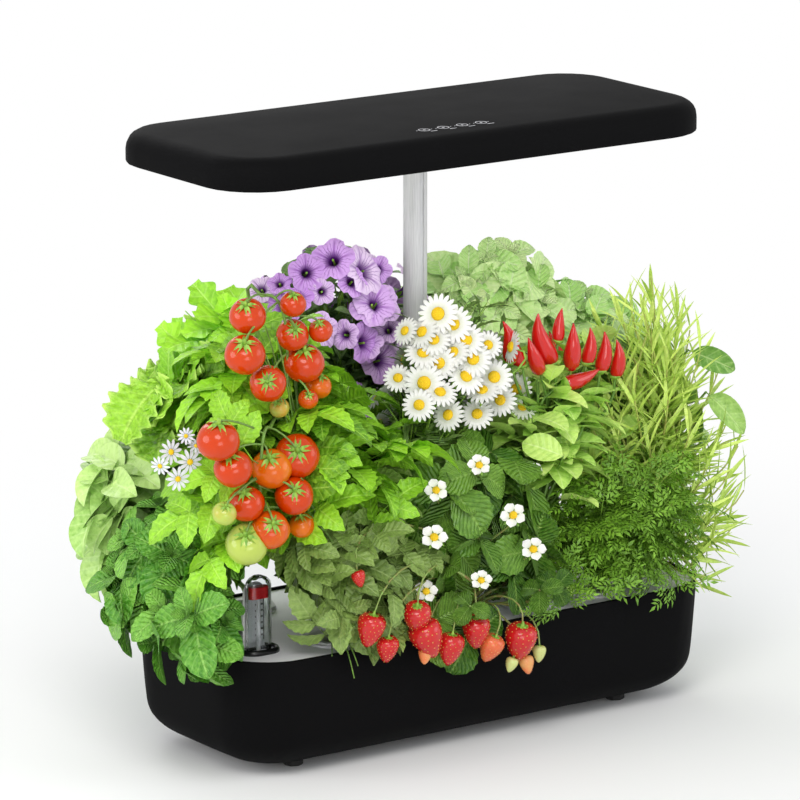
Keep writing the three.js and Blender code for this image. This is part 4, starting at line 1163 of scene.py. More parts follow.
class Plant:
    """A plant's space, and the lines that its shoots and stalks follow in it."""

    def __init__(self, node, pod, seed, straight=8):
        self.node = node
        self.straight = straight  # how far the stem rises before it bends to the plant's middle
        self.rng = np.random.default_rng(seed)
        low, high = box(f"sponge_{pod:02d}")
        self.foot = np.array([(low[0] + high[0]) / 2, (low[1] + high[1]) / 2, high[2] - 1])
        points, faces = SOLIDS[node]
        a, b, c = (points[faces[:, k]] for k in range(3))
        cross = np.cross(b - a, c - a)
        area = np.linalg.norm(cross, axis=1)
        pick = self.rng.choice(len(faces), SAMPLES, p=area / area.sum())
        r, s = self.rng.random((2, SAMPLES, 1))
        root = np.sqrt(r)
        self.surface = a[pick] * (1 - root) + b[pick] * root * (1 - s) + c[pick] * root * s
        self.normals = cross[pick] / area[pick][:, None]
        self.middle = self.surface.mean(0)
        others = [tree for name, tree in SURFACES.items() if name != node]
        self.open = np.array([
            all(tree.find_nearest(Vector(p), NEIGHBOUR_GAP)[0] is None for tree in others)
            for p in self.surface
        ])

    def stem_at(self, height):
        """The place of the main stem at a height."""
        weight = np.exp(-(((self.surface[:, 2] - height) / 22) ** 2)) + 1e-9
        centre = (self.surface * weight[:, None]).sum(0) / weight.sum()
        share = np.clip((height - self.foot[2] - self.straight) / 45, 0, 1) ** 1.5
        x, y = self.foot[:2] * (1 - share) + centre[:2] * share
        return np.array([x, y, height])

    def spread(self, count, inset=0.0, keep=None, hidden=0.06):
        """Points spread evenly over the open surface, drawn in by inset, with their normals."""
        usable = self.open | (self.rng.random(SAMPLES) < hidden)
        if keep is not None:
            usable &= keep(self.surface, self.normals)
        chosen = np.flatnonzero(usable)
        points = self.surface[chosen]
        picked = [int(self.rng.integers(len(chosen)))]
        distance = np.linalg.norm(points - points[picked[0]], axis=1)
        while len(picked) < min(count, len(chosen)):
            picked.append(int(distance.argmax()))
            distance = np.minimum(distance, np.linalg.norm(points - points[picked[-1]], axis=1))
        rows = chosen[picked]
        return self.surface[rows] - self.normals[rows] * inset, self.normals[rows]

    def path(self, tip, approach=None, rise=0.45, steps=8):
        """A line from the main stem to the tip, which ends along approach; None if none is free."""
        height = self.foot[2] + max(6, rise * (tip[2] - self.foot[2]))
        start = self.stem_at(height)
        reach = np.linalg.norm(tip - start)
        for bow in (0.2, 0.4, 0.7, 1.0):
            lift = UPWARD * bow * reach
            if approach is None:
                points = bezier(start, start + (tip - start) * 0.4 + lift, tip, steps=steps)
            else:
                before = tip - unit(approach) * min(reach * 0.45, 38)
                points = bezier(start, start + (before - start) * 0.4 + lift, before, tip, steps=steps)
            if not blocked(points[2:], views=False).any():
                return points
        return None

    def main_stem(self, thick=2.2, top=0.8):
        """The main stem, bare, from the sponge upwards."""
        high = self.surface[:, 2].max()
        heights = np.linspace(self.foot[2] - 1, self.foot[2] + (high - self.foot[2]) * top, 12)
        points = np.array([self.stem_at(h) for h in heights])
        return dict(points=points, thick=tapered(points, thick, thick * 0.35), bare=2.0)

    def shoots(self, count, inset=12.0, thick=0.9, bare=0.3, rise=0.45, keep=None, hidden=0.06):
        """Leafy lines to points spread over the surface."""
        lines = []
        for tip in self.spread(count, inset, keep, hidden)[0]:
            points = self.path(tip, rise=rise)
            if points is not None and not above_crown(points[-1:])[0]:
                seen_free = np.flatnonzero(~blocked(points))
                points = points[:max(4, seen_free[-1] + 1 if len(seen_free) else 4)]
                lines.append(dict(points=points, thick=tapered(points, thick, thick * 0.45), bare=bare))
        return lines

    def stalks(self, heads, thick):
        """Lines that end in heads; each head has a point, and may have facing, size, tone and turn."""
        lines = []
        for head in heads:
            tip = np.asarray(head["point"], float)
            facing = unit(head["facing"])
            points = self.path(tip, approach=facing, rise=head.get("rise", 0.5))
            if points is None:
                continue
            tone = head.get("tone", float(self.rng.uniform(0.02, 1)))
            lines.append(dict(
                points=points,
                thick=tapered(points, thick * 1.4, thick),
                facing=facing,
                size=head.get("size", 1.0),
                tone=tone + 1e-4 * (len(lines) + 1),
                turn=head.get("turn", float(self.rng.uniform(0, 6.28))),
            ))
        return lines

    def at(self, u, v, proud=0.0, depth=None):
        """The point of this plant's surface at a pixel, moved towards the camera, or that at y = depth."""
        if depth is not None:
            return at_pixel(u, v, depth)
        hit = SURFACES[self.node].ray_cast(Vector(EYE), Vector(pixel_ray(u, v)))[0]
        point = np.array(hit) if hit is not None else at_pixel(u, v, self.middle[1])
        return point + BACK * proud


def grow(name, plant, lines, leaf, leaf_material, stem_material, seed, spacing, **values):
    """Leafy shoots as one piece on the planter, with a leaf at each spacing, in millimetres."""
    inputs = {"Spacing": spacing * MM}
    inputs |= {key.replace("_", " ").title(): value for key, value in values.items()}
    inputs |= {"Leaf": leaf, "Leaf Material": leaf_material, "Stem Material": stem_material, "Seed": seed}
    piece = evaluated(name, line_mesh(name, lines), shoot_tree, inputs)
    return settle(piece, plant)


def head_lines(name, plant, lines, head, stalk_material, views=False):
    """Lines that end in heads, as one piece on the planter; views also keeps them out of what must show."""
    piece = evaluated(
        name, line_mesh(name, lines), head_tree, {"Head": head, "Stalk Material": stalk_material},
    )
    return settle(piece, plant, views)


def place_heads(name, plant, heads, head, stalk_material, thick=0.7, views=False):
    """Heads on stalks that the plant grows for them."""
    return head_lines(name, plant, plant.stalks(heads, thick), head, stalk_material, views)


def settle(piece, plant, views=True):
    """Clears the piece's way, and hands it over: it rides on the planter and stands for the solid."""
    lost = clear_blocked(piece, views)
    piece.data.shade_smooth()
    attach(piece, "planter")
    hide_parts(plant.node)
    triangles = sum(len(p.vertices) - 2 for p in piece.data.polygons)
    print(f"{piece.name}: {triangles} triangles, {lost} leaves taken out")
    return piece


def facing_heads(
    plant, count, inset, sizes, keep=None, camera_share=0.0, lift=0.35, hidden=0.0, rise=0.4,
):
    """Heads spread over the plant's surface, which face outwards and upwards."""
    points, normals = plant.spread(count, inset, keep, hidden)
    low, high = sizes
    heads = []
    for point, normal in zip(points, normals):
        jitter = plant.rng.normal(0, 0.18, 3)
        facing = unit(normal + UPWARD * lift + BACK * camera_share + jitter)
        size = float(plant.rng.uniform(low, high))
        heads.append(dict(point=point, facing=facing, size=size, rise=rise))
    return heads


def blade_heads(plant, blades, full, proud=0.0, depth=None, lift=0.3, rise=0.6, shake=0.2):
    """Single leaves that the photo shows, each from the pixel of its base to the pixel of its tip.
    They stand proud of the plant's surface, or at the plane y = depth."""
    heads = []
    for base, tip in blades:
        across, down = np.subtract(tip, base)
        heads.append(dict(
            point=plant.at(*base, proud, depth),
            facing=unit(BACK + UPWARD * lift + plant.rng.normal(0, shake, 3)),
            size=math.hypot(across, down) / PIXELS_PER_MM / full,
            turn=math.atan2(-across, -down),
            rise=rise,
        ))
    return heads


def spot_heads(plant, spots, full=None, proud=0.0, depth=None, lift=0.3, rise=0.6, shake=0.2):
    """Heads at pixels: each spot ends with its width there, and full is the head's own width; without
    full, it ends with its size."""
    heads = []
    for u, v, width in spots:
        facing = unit(BACK + UPWARD * lift + plant.rng.normal(0, shake, 3))
        size = width / PIXELS_PER_MM / full if full else width
        heads.append(dict(point=plant.at(u, v, proud, depth), facing=facing, size=size, rise=rise))
    return heads


# %% [markdown]
# ## Mint
# Mint grows in a low mound. Its leaves stand in pairs, each pair a quarter turn on from the last, and
# crowd to rosettes at the tips of the shoots. The blades are quilted between deep veins, with a saw
# edge. Each rosette is one template, built from crossed pairs that are turned ninety degrees apart.

# %% Mint
MINT_LEAF = dict(
    length=30, width=24, rows=10, teeth=0.08, widest=0.46, blunt=0.58, cup=0.12, droop=0.5, stalk=2,
)
# Each pair of a rosette from the outside in: its size, how far it is raised, and its height on the stem
MINT_PAIRS = [(1.0, -4, 0), (0.78, 14, 2.5), (0.5, 34, 5), (0.26, 56, 7)]


def rosette(name, leaf, pairs):
    """Crossed pairs of leaves that face +Z; the inner ones count as younger."""
    forms = [
        facing_pair(leaf_form(**(leaf | {"stalk": 0 if size < 0.6 else leaf["stalk"]})), raised)
        .moved(turn=(0, 0, 90 * k), shift=(0, 0, height), scale=size)
        for k, (size, raised, height) in enumerate(pairs)
    ]
    piece = template(name, total(forms))
    younger = np.concatenate(
        [np.full(len(form.points), k / (len(forms) - 1)) for k, form in enumerate(forms)]
    )
    piece.data.attributes.new("along", "FLOAT", "POINT").data.foreach_set("value", younger.astype(np.float32))
    return piece


mint_green = leaf_finish(
    "mint_leaf", srgb(64, 130, 26), srgb(140, 202, 78), srgb(168, 218, 112),
    veins=7, slant=0.6, vein_depth=0.9, roughness=0.4, quilt=0.7,
)
mint_stem = stem_finish("mint_stem", srgb(110, 150, 70), srgb(96, 100, 60))
mint = Plant("plant_mint", 6, seed=11)
mint_rosette = rosette("mint_rosette", MINT_LEAF, MINT_PAIRS)
mint_rosette.data.materials.append(mint_green)
mint_heads = facing_heads(
    mint, 50, inset=5, sizes=(1.05, 1.4), camera_share=0.35, lift=0.25, hidden=0.1, rise=0.3,
)
mint_heads += facing_heads(mint, 36, inset=17, sizes=(0.8, 1.0), hidden=0.1, rise=0.3)
place_heads("mint_rosettes", mint, mint_heads, mint_rosette, mint_stem, thick=0.8, views=True)

# %% [markdown]
# ## Leaves with many leaflets
# Tomato and parsley have compound leaves: leaflets in pairs along a thin stalk, with one at its end.
# One function places them, and calling it on its own result gives the feathery leaves whose leaflets
# are divided again. The smallest division is a single folded face, which keeps them light.

# %% Compound leaves
def compound_form(
    leaflet, length, pairs, start=0.3, last=0.86, spread=62, end_scale=1.15, droop=0.6, radius=0.8,
):
    """A leaf stalk along +Y with pairs of leaflets and one at its end."""
    t = np.linspace(0, 1, 7)
    bend = droop * t ** 1.2
    y, z = bent(bend, length)
    stalk = np.stack([0 * y, y, z], 1)
    forms = [tube_form(stalk, np.linspace(radius, radius * 0.4, len(t)), 3)]
    for rank, share in enumerate(np.linspace(start, last, pairs)):
        place = [np.interp(share, t, axis) for axis in stalk.T]
        angle = -math.degrees(np.interp(share, t, bend))
        size = 0.78 + 0.34 * math.sin(math.pi * (rank + 0.7) / pairs)
        for side in (-1, 1):
            turned = leaflet.moved(turn=(0, 8 * side, -side * spread), scale=size)
            forms.append(turned.moved(turn=(angle, 0, 0), shift=place))
    end = leaflet.moved(scale=end_scale)
    forms.append(end.moved(turn=(-math.degrees(bend[-1]), 0, 0), shift=stalk[-1]))
    return total(forms)


def needle_form(length, width, fold=0.25, droop=0.15):
    """The smallest leaf: one face, folded along its midrib."""
    side = width / 2
    points = [
        (0, 0, 0), (side, length * 0.45, fold * side), (0, length, -droop * length),
        (-side, length * 0.45, fold * side),
    ]
    return Form(points, [(0, 1, 2, 3)], [(0.5, 0), (0.9, 0.45), (0.5, 1), (0.1, 0.45)])


# %% [markdown]
# ## Finishes of petals and fruits
# Petals are matt and finely streaked from their foot to their edge. Fruits are glossy, with a skin
# that shifts in colour with ripeness: the attribute 'tone', which each fruit gets with its stalk,
# runs from unripe to ripe.

# %% Petal and fruit finishes
def petal_finish(name, base, edge, streak, streaks=9.0):
    """Petal whose colour runs from its foot to its edge, with fine streaks along it."""
    material, tree, shader = new_finish(name, edge, 0.6, Specular_IOR_Level=0.25)
    x, y, _ = own_place(tree).axes()
    ridge = abs(calc(tree, "FRACT", x * streaks) - 0.5).span(0.0, 0.25)
    color = mix((1.0 - ridge) * 0.35, mix(y.span(0.0, 0.5), base, edge), streak)
    wear(shader, color, height=ridge, depth=0.12)
    return material


def trumpet_finish(name, throat, petal, pale, vein):
    """A flared flower: dark throat and dark veins that run out and branch, on a paler edge."""
    material, tree, shader = new_finish(name, petal, 0.55, Specular_IOR_Level=0.25)
    centred = calc(tree, "SUBTRACT", own_place(tree), (0.5, 0.5, 0.0), kind="ShaderNodeVectorMath")
    x, y, _ = centred.axes()
    radius = calc(tree, "LENGTH", centred, kind="ShaderNodeVectorMath") * 2.0
    angle = calc(tree, "ARCTAN2", y, x)
    shaken = angle + grain(tree, 3.5).span(0.3, 0.7, -0.07, 0.07)
    fine = 1.0 - abs(calc(tree, "SINE", shaken * 12.5)).span(0.05, 0.5)
    star = 1.0 - abs(calc(tree, "SINE", angle * 2.5)).span(0.05, 0.4)
    veins = calc(tree, "MAXIMUM", fine, star) * radius.span(0.5, 1.0, 0.75, 0.1)
    veined = mix(veins, mix(carried(tree, "tone"), petal, pale), vein)
    color = mix(radius.span(0.2, 0.48, 1.0, 0.0), veined, throat)
    wear(shader, color, height=fine, depth=0.2)
    return material


def skin_finish(name, unripe, turning, ripe, roughness=0.16, coat=0.5):
    """Fruit skin from unripe to ripe by tone, with faint blotches."""
    plain = dict(Coat_Weight=coat, Coat_Roughness=0.08, Specular_IOR_Level=0.3)
    material, tree, shader = new_finish(name, ripe, roughness, **plain)
    share = carried(tree, "tone") + grain(tree, 16, detail=3).span(0.3, 0.7, -0.12, 0.12)
    early = mix(share.span(0.1, 0.4), unripe, turning)
    color = mix(share.span(0.4, 0.75), early, ripe)
    wear(shader, color, height=grain(tree, 1.5, detail=2), depth=0.04)
    return material


def crumb_finish(name, color, deep, size=0.9):
    """A flower's centre, made of many tiny florets, with painted shade in the gaps between them."""
    material, tree, shader = new_finish(name, color, 0.75)
    depth = cells(tree, size).span(0.1, 0.6)
    # the deep colour is painted shade in the gaps between the florets
    wear(shader, mix(depth, color, deep), height=1.0 - depth, depth=0.4)
    return material


calyx_green = stem_finish("calyx_green", srgb(150, 190, 70), srgb(98, 146, 38))
# pollen_yellow's second colour is painted shade between the florets
pollen_yellow = crumb_finish("pollen_yellow", srgb(254, 226, 36), srgb(242, 194, 12))

# %% [markdown]
# ## Tomato
# The tomato plant has two kinds of foliage: bright young leaves above, and duller ones that hang over
# the rim of the tank.

# %% Tomato leaves
tomato = Plant("plant_tomato", 1, seed=31)
TOMATO_LEAFLET = dict(
    length=33, width=22, rows=10, columns=4, teeth=0.16, widest=0.38, blunt=0.75, cup=0.25, droop=0.7,
)
tomato_leaflet = leaf_form(**TOMATO_LEAFLET)
tomato_leaf = template(
    "tomato_leaf", compound_form(tomato_leaflet, length=46, pairs=2, start=0.4, last=0.84, droop=0.7),
)
tomato_bright = leaf_finish(
    "tomato_leaf_young", srgb(70, 122, 20), srgb(158, 220, 46), srgb(186, 232, 96), veins=6, quilt=0.5,
)
tomato_dull = leaf_finish(
    "tomato_leaf_old", srgb(66, 94, 30), srgb(140, 168, 84), srgb(160, 182, 112), veins=6, quilt=0.5,
)
tomato_stem = stem_finish("tomato_stem", srgb(116, 160, 66), srgb(92, 116, 56))
TOMATO_SPLIT = 170  # the height above which the leaves are young
grow(
    "tomato_leaves_upper", tomato,
    [tomato.main_stem()] + tomato.shoots(60, inset=26, bare=0.4, keep=lambda p, n: p[:, 2] > TOMATO_SPLIT),
    tomato_leaf, tomato_bright, tomato_stem, seed=32,
    spacing=16, lean=0.35, tip_lean=1.2, upturn=0.15, leaf_scale=1.05, tip_scale=0.75, wobble=0.8,
)
grow(
    "tomato_leaves_lower", tomato,
    tomato.shoots(50, inset=22, bare=0.35, keep=lambda p, n: p[:, 2] < TOMATO_SPLIT, rise=0.25),
    tomato_leaf, tomato_dull, tomato_stem, seed=33,
    spacing=14, lean=0.1, tip_lean=1.1, upturn=0.1, leaf_scale=0.8, tip_scale=0.6, wobble=0.7,
)

# %% [markdown]
# The fruits hang in two trusses. Each fruit is a turned body, a little flattened and drawn in where its
# star of sepals sits, and is reached by a short stalk from the truss's own stem.

# %% Tomato fruits
TOMATO_RADIUS = 14
TOMATO_FLATTEN = 0.92
SEPALS = 5


def tomato_form(radius=TOMATO_RADIUS):
    """A tomato that hangs from the origin towards +Z, with its sepals."""
    turns = np.linspace(-0.46, 0.48, 12) * math.pi
    dimple = 0.12 * radius
    depth = radius * TOMATO_FLATTEN
    profile = [
        (radius * math.cos(a), depth * (1 + math.sin(a)) + dimple * math.exp(-((a + 1.45) / 0.3) ** 2))
        for a in turns
    ]
    body = turned_form(profile, 20, slot=0, swell=lambda turn: 1 + 0.012 * math.cos(5 * turn))
    sepal = leaf_form(
        length=radius * 1.15, width=4.4, rows=5, columns=2, widest=0.3, cup=0.5, droop=0.85, slot=1,
    )
    sepal = sepal.moved(turn=(180, 0, 0)).moved(turn=(-12, 0, 0), shift=(0, 0, 0.4))
    knob = turned_form([(1.1, -3.2), (1.5, -2), (1.2, -0.8), (2.2, 1.2)], 8, slot=1)
    return total([body, knob] + round_z(sepal, SEPALS))


tomato_skin = skin_finish("tomato_skin", srgb(172, 190, 84), srgb(212, 112, 10), srgb(192, 56, 0), coat=0.15)
tomato_fruit = template("tomato_fruit", tomato_form(), [tomato_skin, calyx_green])

TRUSS_HANG = unit(-UPWARD * 0.62 - BACK * 0.78)


def truss(plant, fruits, depth, top, name):
    """Fruits at their pixels, near the plane y = depth, on a stem that comes down from the pixel top."""
    lines = []
    order = sorted(fruits, key=lambda fruit: fruit[1])
    middle_u = np.mean([fruit[0] for fruit in fruits])
    head = at_pixel(*top, depth + 14)
    low = at_pixel(middle_u, order[-1][1] - 26, depth + 6)
    axis = bezier(
        head, at_pixel(middle_u, top[1] - 8, depth - 6), at_pixel(middle_u, top[1] + 40, depth + 4), low,
        steps=14,
    )
    feeder = plant.path(head + UPWARD * 2, approach=unit(axis[1] - axis[0] - UPWARD * 4))
    whole = axis if feeder is None else np.vstack([feeder[:-1], axis])
    blank = dict(facing=UPWARD, size=0.0, tone=0.5, turn=0.0)
    lines.append(dict(points=whole, thick=tapered(whole, 1.5, 0.8), **blank))
    for rank, (u, v, radius, ripe) in enumerate(order):
        size = radius / PIXELS_PER_MM / TOMATO_RADIUS
        centre = at_pixel(u, v, depth + (4 if rank % 2 else -3))
        jitter = plant.rng.normal(0, 0.22, 3)
        facing = unit(TRUSS_HANG + jitter)
        knob = centre - facing * TOMATO_RADIUS * size * TOMATO_FLATTEN
        near = axis[np.argmin(np.linalg.norm(axis - (knob + UPWARD * 10), axis=1))]
        points = bezier(
            near, near + (knob - near) * 0.4 + UPWARD * 6, knob - facing * 7, knob - facing * 2.5 * size,
            steps=5,
        )
        tone = ripe + 1e-4 * (rank + 1)
        turn = float(plant.rng.uniform(0, 6.28))
        lines.append(dict(points=points, thick=0.75 * MM, facing=facing, size=size, tone=tone, turn=turn))
    return head_lines(name, plant, lines, tomato_fruit, tomato_stem)


truss(tomato, UPPER_TRUSS, TRUSS_DEPTHS[0], TRUSS_TOPS[0], "tomato_truss_upper")
truss(tomato, LOWER_TRUSS, TRUSS_DEPTHS[1], TRUSS_TOPS[1], "tomato_truss_lower")

# %% [markdown]
# ## Strawberry
# Each strawberry leaf stands on its own long stalk and ends in three toothed leaflets, so the plant is
# made by the heads tree: the head is the three-part leaf, and it faces outwards. An inner layer of
# leaves closes the gaps, and a few low ones hide the deck behind the front rim.

# %% Strawberry leaves
strawberry = Plant("plant_strawberry", 3, seed=41)
STRAWBERRY_LEAFLET = dict(
    length=35, width=31, rows=12, columns=4, teeth=0.09, widest=0.56, blunt=0.55, cup=0.2, droop=0.45,
    tip=0.1,
)
strawberry_leaflet = leaf_form(**STRAWBERRY_LEAFLET)
three_leaflets = total([strawberry_leaflet.moved(turn=(-8, 0, turn)) for turn in (0, 108, -108)])
strawberry_green = leaf_finish(
    "strawberry_leaf", srgb(52, 98, 18), srgb(128, 174, 62), srgb(146, 186, 88), veins=9, slant=0.8,
    vein_depth=0.9, roughness=0.38,
)
strawberry_stem = stem_finish("strawberry_stem", srgb(134, 172, 84), srgb(140, 124, 72))
strawberry_leaf = template("strawberry_leaf", three_leaflets, [strawberry_green])

strawberry_heads = facing_heads(
    strawberry, 76, inset=6, sizes=(0.82, 1.18), camera_share=0.5, lift=0.5, hidden=0.1, rise=0.15,
)
strawberry_inner = facing_heads(strawberry, 60, inset=18, sizes=(0.7, 1.0), hidden=0.1, rise=0.15)
STRAWBERRY_WIDTH = 62
# Low leaves that hide the deck behind the front rim: pixel and width there
LOW_LEAVES = [(540, 590, 44), (512, 598, 44), (556, 586, 40), (470, 606, 40)]
strawberry_inner += spot_heads(strawberry, LOW_LEAVES, STRAWBERRY_WIDTH, proud=4, lift=0.5, rise=0.15)
place_heads(
    "strawberry_leaves", strawberry, strawberry_heads + strawberry_inner, strawberry_leaf, strawberry_stem,
    thick=0.9, views=True,
)

# %% [markdown]
# White flowers stand between the leaves. The same form serves the daisies: petals round a domed centre.

# %% Strawberry flowers
BERRY_PETALS = 5


def open_flower_form(petal, count, centre_radius, centre_height, sepal):
    """Petals round a domed centre, with sepals below; it faces +Z."""
    r, h = centre_radius, centre_height
    ring = round_z(petal.moved(shift=(0, r * 0.7, 0)), count)
    if sepal:
        ring += round_z(sepal.moved(turn=(-6, 0, 0), shift=(0, r * 0.5, -0.5)), count, start=0.5)
    dome = turned_form(
        [(r * 0.9, -0.5), (r, 0.15 * h), (r * 0.86, 0.6 * h), (r * 0.55, 0.9 * h), (r * 0.15, h)], 12, slot=1,
    )
    cup = turned_form([(r * 0.2, -h - 1.5), (r * 0.75, -h * 0.6), (r * 0.95, -0.3)], 8, slot=2)
    return total(ring + [dome, cup])


berry_petal = leaf_form(
    length=6.4, width=7.2, rows=4, columns=4, widest=0.56, blunt=0.5, cup=0.35, droop=-0.2,
)
berry_sepal = leaf_form(length=6.5, width=2.6, rows=3, columns=2, widest=0.35, cup=0.2, droop=0.1, slot=2)
petal_white = petal_finish(
    "petal_white", srgb(226, 232, 206), srgb(250, 250, 246), srgb(226, 228, 220), streaks=7,
)
berry_flower = template(
    "strawberry_flower", open_flower_form(berry_petal, BERRY_PETALS, 2.7, 2.0, berry_sepal),
    [petal_white, pollen_yellow, calyx_green],
)
flower_heads = spot_heads(strawberry, BERRY_FLOWERS, proud=9, lift=0.45, rise=0.5, shake=0.15)
place_heads("strawberry_flowers", strawberry, flower_heads, berry_flower, strawberry_stem, thick=0.6)

# %% [markdown]
# A strawberry's seeds sit in its skin in an even spread. That is a pattern on a surface, so a third
# node tree scatters them: points at a least distance from each other, a tiny seed on each, pressed in
# along the surface's normal. The fruits hang over the front rim on thin stalks.

# %% Strawberry fruits
tree, given = new_tree("seeds_on_skin", {
    "Seed Object": ("Object", None),
    "Least Distance": ("Float", 0.002),
    "Seed": ("Int", 1),
    "Seed Material": ("Material", None),
})
seed_tree = tree
spots = outs(tree, "GeometryNodeDistributePointsOnFaces", {
    "Mesh": given["Geometry"],
    "Distance Min": given["Least Distance"],
    "Density Max": 400000.0,
    "Seed": given["Seed"],
}, distribute_method="POISSON")
placed = out(tree, "GeometryNodeInstanceOnPoints", {
    "Points": spots["Points"],
    "Instance": object_shape(given["Seed Object"]),
    "Rotation": aligned(tree, spots["Normal"]),
})
seeds = dressed(join(tree, placed), given["Seed Material"])
give(tree, join(tree, seeds, given["Geometry"]))

BERRY_PROFILE = [
    (1.5, 0.8), (6.8, 0.6), (9.6, 3.2), (10.3, 7), (9.3, 12), (7.0, 17.5), (4.2, 22), (1.4, 24.6),
]
BERRY_SEPALS = 9
berry_skin = skin_finish(
    "strawberry_skin", srgb(196, 206, 130), srgb(226, 120, 70), srgb(192, 26, 28), roughness=0.22, coat=0.4,
)
seed_gold = stem_finish("strawberry_seed", srgb(222, 176, 84), srgb(190, 140, 50))
seed_form = turned_form([(0.3, -0.25), (0.5, 0.0), (0.2, 0.28)], 5)
berry_seed = template("strawberry_seed", seed_form, [seed_gold])
bare_berry = form_mesh("strawberry_body", turned_form(BERRY_PROFILE, 16), [berry_skin])
seeded = evaluated("strawberry_seeded", bare_berry, seed_tree, {
    "Seed Object": berry_seed, "Least Distance": 2.9 * MM, "Seed": 5, "Seed Material": seed_gold,
})
sepal = leaf_form(length=9.5, width=4, rows=3, columns=2, widest=0.35, cup=0.2, droop=0.5, slot=0)
crown = round_z(sepal.moved(turn=(168, 0, 0)), BERRY_SEPALS)
crown.append(turned_form([(0.7, -2.5), (1.0, -1), (2.4, 0.9)], 6))
crown_piece = stand("strawberry_crown", form_mesh("strawberry_crown", total(crown), [calyx_green]))
with bpy.context.temp_override(active_object=seeded, selected_editable_objects=[seeded, crown_piece]):
    bpy.ops.object.join()
bpy.context.scene.collection.objects.unlink(seeded)
print("strawberry:", len(seeded.data.polygons), "faces with its seeds")

berry_heads = []
for u, v, size, ripe in BERRIES:
    facing = unit(-UPWARD + strawberry.rng.normal(0, 0.22, 3) - BACK * 0.12)
    point = at_pixel(u, v, BERRY_DEPTH) - facing * 12 * size
    berry_heads.append(dict(point=point, facing=facing, size=size * 0.95, tone=ripe, rise=0.75))
place_heads("strawberry_fruits", strawberry, berry_heads, seeded, strawberry_stem, thick=0.6)

# %% [markdown]
# ## Daisies
# A daisy is a ring of narrow white petals round a domed yellow centre. The heads are placed where the
# photo shows them, facing mostly forwards, and more of them fill the low back of the clump.

# %% Daisies
daisy = Plant("plant_daisy", 2, seed=51)
DAISY_PETALS = 19
DAISY_RADIUS = 15.6
daisy_petal = leaf_form(
    length=12, width=3.5, rows=5, columns=2, widest=0.6, blunt=0.3, cup=0.18, droop=0.25, tip=0.2,
)
daisy_head = template(
    "daisy_head", open_flower_form(daisy_petal, DAISY_PETALS, 5.2, 3.0, None),
    [petal_white, pollen_yellow, calyx_green],
)
DAISY_LOW_TOP = 262  # heads at the back stand lower than this
daisy_heads = spot_heads(daisy, DAISY_HEADS, 2 * DAISY_RADIUS, proud=6, lift=0.35, shake=0.3)
daisy_heads += facing_heads(
    daisy, 16, inset=4, sizes=(0.75, 1.0), rise=0.6,
    keep=lambda p, n: (p[:, 2] < DAISY_LOW_TOP) & (n[:, 1] > 0.35),
)
place_heads("daisy_flowers", daisy, daisy_heads, daisy_head, calyx_green)
daisy_green = leaf_finish(
    "daisy_leaf", srgb(66, 104, 34), srgb(140, 172, 92), srgb(160, 188, 116), veins=5, vein_depth=0.2,
)
daisy_leaf = template(
    "daisy_leaf",
    leaf_form(
        length=26, width=7, rows=6, columns=2, lobes=0.35, lobe_count=3, widest=0.6, cup=0.3, droop=0.6,
    ),
)
grow(
    "daisy_leaves", daisy, [daisy.main_stem(thick=1.8)] + daisy.shoots(70, inset=14, bare=0.25),
    daisy_leaf, daisy_green, calyx_green, seed=52,
    spacing=6, lean=0.5, tip_lean=1.0, upturn=0.2, leaf_scale=1.0, tip_scale=0.7, wobble=0.4,
)

# %% [markdown]
# ## Parsley
# A low bush of dark, finely divided leaves at the front right. The compound function is called twice:
# needles along a small stalk, and those along a longer one. Some shoots lean out over the front rim.

# %% Parsley
parsley = Plant("plant_parsley", 5, seed=61)
pinna = compound_form(
    needle_form(6.5, 2.4), length=9, pairs=2, start=0.35, last=0.75, spread=50, droop=0.2, radius=0.25,
)
parsley_leaf = template(
    "parsley_leaf",
    compound_form(pinna, length=30, pairs=3, start=0.35, last=0.82, spread=58, droop=0.7, radius=0.4),
)
parsley_green = leaf_finish(
    "parsley_leaf", srgb(62, 110, 12), srgb(130, 180, 50), srgb(146, 188, 74), veins=3, vein_depth=0.1,
)
PARSLEY_TOP = 172  # shoots end lower than this
PARSLEY_RIM_DEPTH = -91
parsley_stem = stem_finish("parsley_stem", srgb(96, 132, 48), srgb(74, 104, 34))
# Pixels on the front rim that shoots lean out to
PARSLEY_RIM = [
    (548, 604), (562, 602), (576, 600), (592, 597), (550, 594), (556, 597), (572, 600), (590, 598),
    (606, 596), (622, 592), (640, 589), (656, 584), (672, 578), (564, 588), (598, 586), (632, 580),
]
parsley_lines = []
for u, v in PARSLEY_RIM:
    points = parsley.path(at_pixel(u, v, PARSLEY_RIM_DEPTH), approach=unit(BACK - UPWARD * 0.3), rise=1.0)
    if points is not None:
        parsley_lines.append(dict(points=points, thick=tapered(points, 0.8, 0.4), bare=0.5))
grow(
    "parsley_leaves", parsley,
    parsley_lines + parsley.shoots(
        110, inset=12, bare=0.4, thick=0.7, rise=0.15, hidden=0.03, keep=lambda p, n: p[:, 2] < PARSLEY_TOP,
    ),
    parsley_leaf, parsley_green, parsley_stem, seed=62,
    spacing=10, lean=0.5, tip_lean=1.3, upturn=0.25, leaf_scale=0.85, tip_scale=0.75, wobble=0.5,
)

# %% [markdown]
# ## Rosemary
# Tall upright shoots with narrow leaves all the way down stand at the right. Here the shoot tree does
# all the work, with one narrow leaf at short steps. Most of its tips stand where the photo has them.

